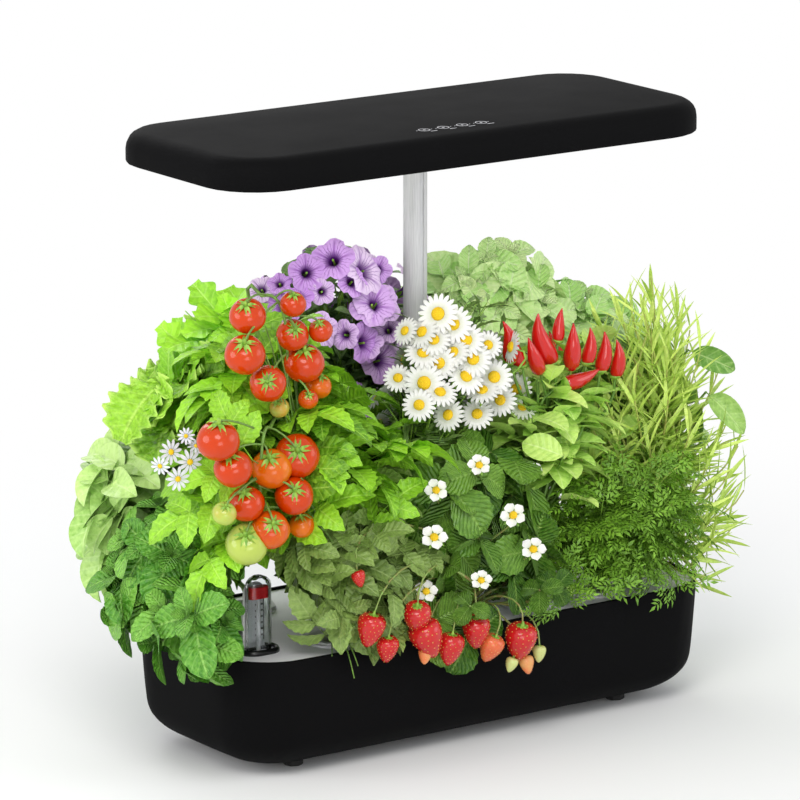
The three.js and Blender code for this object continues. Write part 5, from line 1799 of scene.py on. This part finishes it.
# %% Needle herbs
herb = Plant("plant_rosemary", 7, seed=71)
herb_needle = template(
    "herb_needle",
    leaf_form(length=38, width=3.7, rows=4, columns=2, widest=0.4, blunt=0.6, cup=0.5, droop=0.2),
)
herb_green = leaf_finish(
    "herb_needle", srgb(148, 190, 54), srgb(224, 246, 128), srgb(232, 246, 164), veins=1, vein_depth=0.05,
)
herb_stem = stem_finish("herb_stem", srgb(196, 208, 112), srgb(164, 162, 86))
HERB_TIPS = [
    (641, 294), (630, 304), (622, 318), (652, 302), (664, 322), (678, 316), (604, 334), (612, 356),
    (690, 330), (700, 352), (718, 372), (728, 420), (738, 446), (744, 490), (736, 520), (730, 470),
    (712, 540), (705, 575), (600, 420), (596, 462), (640, 420), (660, 380), (684, 400), (650, 470),
    (700, 440), (676, 500), (690, 560), (668, 350), (716, 500), (630, 380),
]
HERB_RIGHT = 732  # the pixel column that shoots stay left of
HERB_DEPTHS, HERB_FRONT_DEPTHS = (-55, -10), (-76, -50)
herb_lines = [herb.main_stem(thick=1.8, top=0.75)] + herb.shoots(
    24, inset=4, bare=0.12, thick=0.8, rise=0.2, hidden=0.0, keep=lambda p, n: to_pixels(p)[0] < HERB_RIGHT,
)
HERB_FRONT_TIPS = [
    (570, 446), (590, 424), (606, 400), (618, 440), (634, 396), (650, 446), (668, 400), (690, 430),
    (706, 468), (720, 505), (655, 490), (700, 530), (692, 562), (592, 470),
]
for u, v in HERB_TIPS + HERB_FRONT_TIPS:
    nearest, farthest = HERB_FRONT_DEPTHS if (u, v) in HERB_FRONT_TIPS else HERB_DEPTHS
    tip = at_pixel(u, v, float(herb.rng.uniform(nearest, farthest)))
    points = herb.path(
        tip, approach=unit(UPWARD + (tip - herb.middle) * (0.008, 0.008, 0)), rise=0.25, steps=10,
    )
    if points is not None:
        herb_lines.append(dict(points=points, thick=tapered(points, 1.4, 0.5), bare=0.1))
grow(
    "herb_shoots", herb, herb_lines, herb_needle, herb_green, herb_stem, seed=72,
    spacing=5.4, lean=0.6, tip_lean=1.15, upturn=0.0, leaf_scale=1.15, tip_scale=0.8, wobble=0.35,
)

# %% [markdown]
# ## Chili
# The chili plant carries its fruits upright: each is a tube along a slightly bent line, thickest near
# its green cap and drawn out to a point. Broad leaves lie below the fruits where the photo shows them.

# %% Chili
chili = Plant("plant_chili", 4, seed=81)
chili_green = leaf_finish(
    "chili_leaf", srgb(142, 194, 76), srgb(218, 246, 134), srgb(228, 248, 170), veins=6, vein_depth=0.25,
    roughness=0.4,
)
chili_stem = stem_finish("chili_stem", srgb(120, 164, 70), srgb(96, 130, 54))
CHILI_LEAF_TOP = 256  # leafy shoots end lower than this, under the fruits
chili_blade = leaf_form(
    length=40, width=27, rows=8, columns=6, widest=0.44, blunt=0.7, cup=0.3, droop=0.8, stalk=5,
)
chili_leaf = template("chili_leaf", chili_blade)
grow(
    "chili_leaves", chili,
    [chili.main_stem(top=0.6)] + chili.shoots(
        56, inset=18, bare=0.45, keep=lambda p, n: p[:, 2] < CHILI_LEAF_TOP,
    ),
    chili_leaf, chili_green, chili_stem, seed=82,
    spacing=12, lean=0.3, tip_lean=0.9, upturn=0.3, leaf_scale=1.2, tip_scale=0.7, wobble=1.1,
)
# Broad leaves under the fruits, each from the pixel of its base to the pixel of its tip
BROAD_LENGTH = 40
BROAD_LEAVES = [
    ((563, 388), (524, 368)), ((556, 408), (526, 386)), ((560, 414), (628, 380)), ((602, 436), (570, 400)),
    ((640, 424), (604, 392)), ((562, 456), (538, 418)), ((584, 462), (614, 424)), ((596, 480), (566, 446)),
]
broad_blade = leaf_form(
    length=BROAD_LENGTH, width=28, rows=9, columns=6, widest=0.5, blunt=0.6, cup=0.22, droop=0.5,
)
broad_leaf = template("broad_leaf", broad_blade, [chili_green])
broad_heads = blade_heads(chili, BROAD_LEAVES, BROAD_LENGTH, proud=18, lift=0.5, shake=0.25)
place_heads("chili_broad_leaves", chili, broad_heads, broad_leaf, chili_stem, thick=0.8, views=True)

CHILI_LENGTH = 40


def chili_form(bend=5.0):
    """A chili that stands on the origin and points to +Z."""
    t = np.linspace(0, 1, 9)
    path = np.stack([bend * np.sin(t * 2.6), 0 * t, CHILI_LENGTH * t], 1)
    radii = [4.6, 7.0, 7.6, 7.3, 6.5, 5.3, 3.8, 2.1, 0.5]
    cap = turned_form([(1.0, -5), (1.3, -2.5), (4.6, -0.6), (6.6, 1.6), (7.0, 3.2)], 10, slot=1)
    return tube_form(path, radii, 10) + cap


chili_skin = skin_finish(
    "chili_skin", srgb(120, 150, 50), srgb(214, 90, 26), srgb(196, 22, 16), roughness=0.14, coat=0.6,
)
chili_fruit = template("chili_fruit", chili_form(), [chili_skin, calyx_green])
CHILI_FRUIT_TOP, CHILI_FRUIT_LEFT = 235, 75


def behind_chili(points, normals):
    """The low back of the plant on its right, where a few more fruits stand."""
    return (points[:, 2] < CHILI_FRUIT_TOP) & (normals[:, 1] > 0.2) & (points[:, 0] > CHILI_FRUIT_LEFT)


fruit_heads = []
for low, high in CHILIES:
    foot, tip = at_pixel(*low, CHILI_DEPTH), at_pixel(*high, CHILI_DEPTH - 4)
    size = float(np.linalg.norm(tip - foot)) / CHILI_LENGTH
    fruit_heads.append(dict(point=foot, facing=tip - foot, size=size, tone=0.9, rise=0.6))
fruit_heads += [
    dict(head, tone=0.9)
    for head in facing_heads(chili, 5, inset=14, sizes=(0.7, 0.9), keep=behind_chili, lift=0.6)
]
place_heads("chili_fruits", chili, fruit_heads, chili_fruit, chili_stem, thick=1.0)

# %% [markdown]
# ## Petunia
# A petunia is a trumpet: a narrow tube that flares to five joined lobes with a ruffled rim. It is one
# grid of points round and along the trumpet, and its place map is flat, so that the veins can run out
# from the throat in all directions.

# %% Petunia
petunia = Plant("plant_petunia", 10, seed=91)
PETUNIA_RADIUS = 17
PETUNIA_LOBES = 5


def petunia_form(radius=PETUNIA_RADIUS, sides=30):
    """A flower that faces +Z, with its throat at the origin and its tube below."""
    profile = [
        (0.06, -0.95), (0.1, -0.75), (0.15, -0.4), (0.26, -0.12), (0.45, 0.02), (0.68, 0.08), (0.88, 0.07),
        (1.0, 0.02),
    ]
    turns = np.arange(sides) / sides * 2 * math.pi
    lobe = 0.8 + 0.2 * np.abs(np.cos(2.5 * turns)) ** 0.6
    rings, places = [], []
    for share, height in profile:
        flare = np.clip((share - 0.3) / 0.7, 0, 1)
        r = radius * share * (1 + (lobe - 1) * flare)
        z = radius * (height + 0.07 * flare ** 2 * np.sin(10 * turns + 0.6))
        rings.append(np.stack([r * np.cos(turns), r * np.sin(turns), z], 1))
        places.append(np.stack([0.5 + 0.5 * share * np.cos(turns), 0.5 + 0.5 * share * np.sin(turns)], 1))
    trumpet = ring_form(rings, np.concatenate(places), closed=(True, False))
    sepal = leaf_form(length=radius * 0.5, width=3, rows=3, columns=2, droop=-0.3, slot=1)
    low = profile[0][1] * radius
    cup = round_z(sepal.moved(turn=(62, 0, 0), shift=(0, 0.6, low)), PETUNIA_LOBES)
    return total([trumpet] + cup)


petunia_purple = trumpet_finish(
    "petunia_purple", srgb(98, 32, 132), srgb(210, 150, 240), srgb(246, 220, 255), srgb(148, 74, 184),
)
petunia_head = template("petunia_head", petunia_form(), [petunia_purple, calyx_green])
PETUNIA_LOW = 190  # flowers stand higher than this


def under_the_crown(points, normals):
    """Where a whole petunia stays below the upper outline."""
    return (points[:, 2] > PETUNIA_LOW) & ~above_crown(points + UPWARD * PETUNIA_RADIUS)


petunia_heads = spot_heads(petunia, PETUNIAS, 2 * PETUNIA_RADIUS, proud=8)
petunia_heads += facing_heads(petunia, 44, inset=-6, sizes=(0.75, 1.15), keep=under_the_crown, rise=0.6)
place_heads("petunia_flowers", petunia, petunia_heads, petunia_head, calyx_green, thick=0.8)
petunia_green = leaf_finish(
    "petunia_leaf", srgb(74, 116, 50), srgb(140, 178, 104), srgb(160, 192, 124), veins=5, vein_depth=0.2,
)
petunia_leaf = template("petunia_leaf", leaf_form(length=26, width=15, widest=0.55, cup=0.3, droop=0.6))
grow(
    "petunia_leaves", petunia, [petunia.main_stem()] + petunia.shoots(90, inset=14, bare=0.35),
    petunia_leaf, petunia_green, calyx_green, seed=92,
    spacing=8, lean=0.4, tip_lean=1.1, upturn=0.2, leaf_scale=1.0, tip_scale=0.7, wobble=0.4,
)

# %% [markdown]
# ## Lemon balm
# Lemon balm fills the back: pale, softly toothed leaves in pairs, larger than mint's. It is made like
# the mint, from rosettes, of which the front ones stand where the photo shows them against the light.
# Single leaves at the outline of the plant are placed one by one, each from its base to its tip.

# %% Lemon balm
balm = Plant("plant_lemon_balm", 11, seed=101)
BALM_LEAF = dict(
    length=34, width=27, rows=11, columns=6, teeth=0.05, widest=0.37, blunt=0.76, cup=0.28, droop=0.8,
    stalk=4,
)
BALM_PAIRS = [(1.0, 4, 0), (0.72, 22, 3), (0.42, 42, 6)]
BALM_WIDTH = 62
BALM_SPOTS = [
    (440, 262, 62), (462, 282, 66), (487, 262, 64), (510, 256, 58), (503, 284, 70), (532, 280, 66),
    (556, 286, 62), (583, 300, 60), (540, 306, 70), (610, 322, 58), (575, 316, 60), (470, 308, 58),
    (498, 308, 60), (634, 342, 54), (452, 302, 50),
]
balm_green = leaf_finish(
    "balm_leaf", srgb(172, 224, 118), srgb(232, 254, 184), srgb(240, 254, 212), veins=6, slant=0.5,
    vein_depth=0.6, quilt=0.15,
)
balm_stem = stem_finish("balm_stem", srgb(140, 176, 96), srgb(116, 146, 76))
balm_rosette = rosette("balm_rosette", BALM_LEAF, BALM_PAIRS)
balm_rosette.data.materials.append(balm_green)
balm_heads = spot_heads(balm, BALM_SPOTS, BALM_WIDTH, proud=-4, lift=0.9, shake=0.3)
balm_heads += facing_heads(balm, 60, inset=8, sizes=(1.0, 1.3), lift=0.5, hidden=0.05, rise=0.35)
balm_heads += facing_heads(balm, 40, inset=24, sizes=(0.8, 1.0), lift=0.5, hidden=0.05, rise=0.35)
place_heads("balm_rosettes", balm, balm_heads, balm_rosette, balm_stem, thick=0.9, views=True)
BALM_BLADES = [
    ((444, 278), (461, 246)), ((495, 270), (518, 242)), ((538, 292), (563, 270)), ((570, 308), (585, 278)),
    ((590, 322), (617, 303)), ((664, 332), (692, 304)), ((660, 340), (698, 346)), ((626, 326), (632, 290)),
    ((508, 296), (536, 268)), ((468, 274), (486, 252)),
]
balm_blade = template("balm_blade", leaf_form(**BALM_LEAF), [balm_green])
blades = blade_heads(balm, BALM_BLADES, BALM_LEAF["length"], proud=4, lift=0.2)
place_heads("balm_blades", balm, blades, balm_blade, balm_stem, thick=0.9, views=True)

# %% [markdown]
# ## Basil
# Basil has large, smooth, spoon-shaped leaves. Two plants stand at the back corners. The stem of the right
# one rises straight at first, because the fill flap opens beside it.

# %% Basil
BASIL_LENGTH = 54
BASIL_BLADE_DEPTH = -30
basil_leaf = leaf_form(
    length=BASIL_LENGTH, width=38, rows=10, columns=6, widest=0.42, blunt=0.66, cup=0.5, droop=0.95, stalk=5,
)
basil_pair = template("basil_pair", facing_pair(basil_leaf, 18))
basil_pale = leaf_finish(
    "basil_leaf_pale", srgb(116, 170, 60), srgb(196, 228, 138), srgb(212, 236, 166), veins=5, vein_depth=0.4,
    roughness=0.34,
)
basil_green = leaf_finish(
    "basil_leaf_green", srgb(96, 146, 52), srgb(176, 212, 116), srgb(200, 226, 150), veins=5, vein_depth=0.4,
    roughness=0.34,
)
basil_stem = stem_finish("basil_stem", srgb(140, 178, 90), srgb(120, 150, 76))
for node, pod, finish, seed, straight in (
    ("plant_basil_left", 8, basil_pale, 111, 8), ("plant_basil_right", 12, basil_green, 121, 50),
):
    basil = Plant(node, pod, seed=seed, straight=straight)
    lines = [basil.main_stem()] + basil.shoots(36, inset=22, bare=0.5)
    grow(
        node.replace("plant_", "") + "_shoots", basil, lines, basil_pair, finish, basil_stem, seed=seed + 1,
        spacing=18, twist=math.pi / 2, lean=0.0, tip_lean=0.0, upturn=0.15, leaf_scale=1.5, tip_scale=0.65,
        wobble=0.3,
    )

BASIL_BLADES = [
    ((688, 350), (714, 394)), ((704, 354), (738, 402)), ((714, 368), (737, 428)), ((720, 396), (728, 452)),
    ((706, 392), (716, 446)),
]
basil_narrow = leaf_form(
    length=BASIL_LENGTH, width=28, rows=10, columns=6, widest=0.42, blunt=0.66, cup=0.5, droop=0.8, stalk=5,
)
blade = template("basil_blade", basil_narrow, [basil_green])
blades = blade_heads(basil, BASIL_BLADES, BASIL_LENGTH, depth=BASIL_BLADE_DEPTH, lift=0.3, shake=0.15)
place_heads("basil_right_blades", basil, blades, blade, basil_stem, thick=0.9, views=True)

# %% [markdown]
# ## Lettuce
# Loose lettuce leaves fill the upper left: some with a frilled edge, some lobed like an oak leaf. The
# frill is a wave that grows towards the edge of the sheet.

# %% Lettuce
lettuce = Plant("plant_lettuce", 9, seed=131)
frilled = leaf_form(
    length=58, width=54, rows=32, columns=8, widest=0.55, blunt=0.48, cup=0.3, droop=0.8, ruffle=0.17,
    waves=6, tip=0.15,
)
oak_leaf = leaf_form(
    length=50, width=34, rows=24, columns=6, widest=0.6, blunt=0.5, lobes=0.42, lobe_count=2.6, cup=0.2,
    droop=0.5, tip=0.2,
)
lettuce_green = leaf_finish(
    "lettuce_leaf", srgb(70, 122, 6), srgb(156, 212, 52), srgb(198, 236, 112), veins=6, vein_depth=1.1,
    quilt=0.9, rim=1.4,
)
oak_green = leaf_finish(
    "oak_lettuce_leaf", srgb(104, 172, 8), srgb(172, 236, 56), srgb(200, 244, 120), veins=5, vein_depth=0.4,
)
lettuce_stem = stem_finish("lettuce_stem", srgb(176, 214, 116), srgb(150, 190, 90))
LETTUCE_SPLIT = 235  # the height about which frilled and lobed leaves meet
grow(
    "lettuce_frilled", lettuce,
    [lettuce.main_stem()] + lettuce.shoots(
        48, inset=28, bare=0.45, keep=lambda p, n: p[:, 2] < LETTUCE_SPLIT + 20,
    ),
    template("frilled_leaf", frilled), lettuce_green, lettuce_stem, seed=132,
    spacing=19, lean=0.3, tip_lean=0.9, upturn=0.15, leaf_scale=1.0, tip_scale=0.75, wobble=0.8,
)
grow(
    "lettuce_oak", lettuce,
    lettuce.shoots(44, inset=34, bare=0.5, keep=lambda p, n: p[:, 2] > LETTUCE_SPLIT - 10),
    template("oak_leaf", oak_leaf), oak_green, lettuce_stem, seed=133,
    spacing=15, lean=0.4, tip_lean=1.1, upturn=0.15, leaf_scale=0.95, tip_scale=0.7, wobble=0.4,
)

# %% [markdown]
# A few small pale flowers stand in front of the lettuce.

# %% Small pale flowers
aster_petal = leaf_form(
    length=7.5, width=2.6, rows=4, columns=2, widest=0.6, blunt=0.4, cup=0.2, droop=0.2, tip=0.2,
)
petal_blue = petal_finish("petal_pale_blue", srgb(222, 230, 242), srgb(246, 248, 253), srgb(206, 216, 236))
aster = template(
    "aster", open_flower_form(aster_petal, 11, 2.2, 1.6, None), [petal_blue, pollen_yellow, calyx_green],
)
ASTER_WIDTH = 18
aster_heads = spot_heads(lettuce, ASTERS, ASTER_WIDTH, depth=ASTER_DEPTH, rise=0.5, shake=0.3)
place_heads("aster_flowers", lettuce, aster_heads, aster, calyx_green, thick=0.5)

# %% [markdown]
# ## Trim
# Marks, ticks, lenses and screws are small copies of one shape. A last node tree puts a copy at each
# point of a host mesh, so that a whole row of them is one piece. Rings such as the window's bezel are
# a closed section swept round a closed outline.

# %% Trim helpers
tree, given = new_tree("copies", {"Copy": ("Object", None), "Material": ("Material", None)})
copy_tree = tree
inputs = {"Points": given["Geometry"], "Instance": object_shape(given["Copy"])}
placed = out(tree, "GeometryNodeInstanceOnPoints", inputs)
give(tree, dressed(join(tree, placed), given["Material"]))


def copies(name, body, form, finish, places, smooth=True):
    """A copy of the form at each place, as one piece that rides on the body."""
    host = bpy.data.meshes.new(name)
    host.from_pydata((np.array(places, float) * MM).tolist(), [], [])
    shape = template(name + "_shape", form)
    if not smooth:
        shape.data.shade_flat()
    piece = evaluated(name, host, copy_tree, {"Copy": shape, "Material": finish})
    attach(piece, body)
    print(f"{name}: {len(places)} copies, {len(piece.data.polygons)} faces")
    return piece


def loop_form(outline, section):
    """A closed section of (offset outwards, height), swept round a closed outline in the XY plane."""
    outline = np.asarray(outline, float)
    along = np.roll(outline, -1, 0) - np.roll(outline, 1, 0)
    outward = np.stack([along[:, 1], -along[:, 0]], 1) / np.linalg.norm(along, axis=1)[:, None]
    count, sides = len(outline), len(section)
    points = [(*(p + n * offset), height) for p, n in zip(outline, outward) for offset, height in section]
    faces = []
    for k in range(count):
        for side in range(sides):
            here, ahead = k * sides, (k + 1) % count * sides
            after = (side + 1) % sides
            faces.append((here + side, ahead + side, ahead + after, here + after))
    return Form(points, faces)


def arc(middle, radius, start, end, steps):
    """Points along an arc, with its angles in degrees."""
    angles = np.radians(np.linspace(start, end, steps + 1))
    return np.asarray(middle, float) + radius * np.stack([np.cos(angles), np.sin(angles)], 1)


def stadium(length, width, steps=12):
    """The outline of two half rounds joined by straight sides, about the origin."""
    radius, half = width / 2, (length - width) / 2
    return np.vstack([arc((half, 0), radius, -90, 90, steps), arc((-half, 0), radius, 90, 270, steps)])


def plate_form(outline, thickness, bevel):
    """A plate over a convex outline, from z = 0 up, with its upper edge drawn in by the bevel."""
    outline = np.asarray(outline, float)
    middle = (outline.max(0) + outline.min(0)) / 2
    inner = middle + (outline - middle) * (1 - 2 * bevel / (outline.max(0) - outline.min(0)))
    levels = [(outline, 0), (outline, thickness - bevel), (inner, thickness)]
    return ring_form([np.column_stack([o, np.full(len(o), float(z))]) for o, z in levels])


def bar_outline(length, width):
    """A small stadium, for lines and ticks."""
    return stadium(length, width, steps=5)


# %% [markdown]
# The level window stands in a glossy bezel. Behind its clear tube a white card carries the scale.

# %% Trim of the level window
WINDOW_MIDDLE = (WINDOW_LOW + WINDOW_HIGH) / 2
BEZEL_GAP, BEZEL_WIDTH, BEZEL_HEIGHT, BEZEL_SINK = 0.4, 3.2, 3.6, 0.25
CARD_WIDTH, CARD_HEIGHT, CARD_THICK = 17, 46, 0.6
WINDOW_FLANGE, CARD_GAP, CARD_FOOT = 2, 0.3, 1.9
CARD_LOW = WINDOW_LOW[2] + CARD_FOOT
CARD_BACK = WINDOW_HIGH[1] - WINDOW_FLANGE + CARD_GAP + CARD_THICK
TICKS, TICK_FIRST, TICK_PITCH = 7, 94, 4.25
TICK_SIZE, TICK_OFFSET = (6.4, 1.3), 4.2
LINE_WIDTH, LINE_PAST, LINE_OFFSET = 1.1, 3, 7.6
INK, INK_GAP, INK_BEVEL = 0.12, 0.01, 0.04

window_size = WINDOW_HIGH - WINDOW_LOW
rim = stadium(window_size[0] + 2 * BEZEL_GAP, window_size[1] + 2 * BEZEL_GAP)
bezel_section = [
    (0, 0), (BEZEL_WIDTH, 0), (BEZEL_WIDTH, BEZEL_HEIGHT * 0.45), (BEZEL_WIDTH * 0.8, BEZEL_HEIGHT * 0.85),
    (BEZEL_WIDTH * 0.45, BEZEL_HEIGHT), (BEZEL_WIDTH * 0.15, BEZEL_HEIGHT * 0.9), (0, BEZEL_HEIGHT * 0.6),
]
gloss_black = moulded(
    "gloss_black", srgb(14, 14, 16), srgb(24, 24, 27), 0.25, grain_depth=0.01, Specular_IOR_Level=0.4,
)
copies(
    "window_bezel", "planter", loop_form(rim, bezel_section), gloss_black,
    [(*WINDOW_MIDDLE[:2], WINDOW_LOW[2] - BEZEL_SINK)],
)

half = CARD_WIDTH / 2
card_outline = np.vstack([[(-half, 0), (half, 0)], arc((0, CARD_HEIGHT - half), half, 0, 180, 12)])
card_white = moulded("card_white", srgb(250, 250, 250), srgb(236, 236, 236), 0.5, grain_depth=0.01)
card = plate_form(card_outline, CARD_THICK, 0.15).moved(turn=(90, 0, 0))
copies(
    "scale_card", "planter", card, card_white, [(WINDOW_MIDDLE[0], CARD_BACK, CARD_LOW)],
    smooth=False,
)

ink_black = moulded("ink_black", srgb(18, 18, 18), srgb(34, 34, 34), 0.5, grain_depth=0.01)
tick = plate_form(bar_outline(*TICK_SIZE), INK, INK_BEVEL).moved(turn=(90, 0, 0))
line = plate_form(bar_outline(TICKS * TICK_PITCH + LINE_PAST, LINE_WIDTH), INK, INK_BEVEL)
line = line.moved(turn=(0, 0, 90)).moved(turn=(90, 0, 0))
ink_y = CARD_BACK - CARD_THICK - INK_GAP
tick_places = [(WINDOW_MIDDLE[0] + TICK_OFFSET, ink_y, TICK_FIRST + TICK_PITCH * k) for k in range(TICKS)]
copies("scale_ticks", "planter", tick, ink_black, tick_places, smooth=False)
line_place = (WINDOW_MIDDLE[0] + LINE_OFFSET, ink_y, TICK_FIRST + TICK_PITCH * (TICKS - 1) / 2)
copies("scale_line", "planter", line, ink_black, [line_place], smooth=False)

# %% [markdown]
# The light has four touch marks on top, rows of lenses below its diffuser and screws round its rim.

# %% Trim of the light
COVER_HIGH = box("lamp_cover")[1]
TRIM_GAP = 0.02  # between trim and the surface it lies on
MARKS, MARK_FIRST, MARK_PITCH, MARK_Y = 4, -30, 15.7, -44
MARK_RADIUS, MARK_LINE = 3.6, 0.6
ink_grey = moulded("ink_grey", srgb(206, 206, 210), srgb(176, 176, 180), 0.5, grain_depth=0.01)
section = [(0, 0), (MARK_LINE, 0), (MARK_LINE, INK), (0, INK)]
mark_places = [(MARK_FIRST + MARK_PITCH * k, MARK_Y, COVER_HIGH[2] + TRIM_GAP) for k in range(MARKS)]
mark_ring = loop_form(arc((0, 0), MARK_RADIUS, 0, 360 - 20, 17), section)
mark_dot = plate_form(arc((0, 0), 1.0, 0, 330, 11), INK, INK_BEVEL)
mark_bar = plate_form(bar_outline(5.6, 0.8), INK, INK_BEVEL).moved(shift=(3.6, -6.4, 0))
side_dots = total([mark_dot.moved(shift=(x, 0, 0), scale=0.5) for x in (-6, 6)])
mark = total([mark_ring, mark_dot, mark_bar, side_dots])
copies("touch_marks", "lamp", mark, ink_grey, mark_places, smooth=False)

DIFFUSER_LOW, DIFFUSER_HIGH = box("lamp_diffuser")
LENS_RADIUS, LENS_DEPTH, LENS_COLUMNS, LENS_ROWS, LENS_INSET = 3.8, 2.2, 17, 5, 16
lens = turned_form([(0.12, -1), (0.5, -0.92), (0.8, -0.66), (0.95, -0.3), (1.0, -0.01)], 12)
lens.points *= (LENS_RADIUS, LENS_RADIUS, LENS_DEPTH)
across = np.linspace(DIFFUSER_LOW[0] + LENS_INSET, DIFFUSER_HIGH[0] - LENS_INSET, LENS_COLUMNS)
deep = np.linspace(DIFFUSER_LOW[1] + LENS_INSET, DIFFUSER_HIGH[1] - LENS_INSET, LENS_ROWS)
lens_warm = moulded("lens_warm", srgb(250, 234, 168), srgb(240, 214, 132), 0.25, grain_depth=0.01)
lens_red = moulded("lens_red", srgb(226, 92, 84), srgb(200, 66, 62), 0.25, grain_depth=0.01)
grid = [(column, row, x, y) for column, x in enumerate(across) for row, y in enumerate(deep)]
warm = [(x, y, DIFFUSER_LOW[2] - TRIM_GAP) for column, row, x, y in grid if (column + 2 * row) % 5]
red = [(x, y, DIFFUSER_LOW[2] - TRIM_GAP) for column, row, x, y in grid if not (column + 2 * row) % 5]
copies("lenses_warm", "lamp", lens, lens_warm, warm)
copies("lenses_red", "lamp", lens, lens_red, red)

BASE_LOW, BASE_HIGH = box("lamp_base")
RIM_INSET = 6
SCREWS_ALONG, SCREWS_ACROSS = (-140, -50, 50, 140), (-24, 41)
screw = turned_form([(0.3, -0.35), (1.15, -0.35), (1.3, -1.0), (1.9, -1.05), (2.5, -0.7), (2.7, -0.02)], 12)
screw_z = BASE_LOW[2] - TRIM_GAP
screw_places = [
    (x, y, screw_z)
    for x in SCREWS_ALONG for y in (BASE_LOW[1] + RIM_INSET, BASE_HIGH[1] - RIM_INSET)
]
screw_places += [
    (x, y, screw_z)
    for x in (BASE_LOW[0] + RIM_INSET, BASE_HIGH[0] - RIM_INSET) for y in SCREWS_ACROSS
]
copies("light_screws", "lamp", screw, FINISHES["pin_steel"], screw_places)
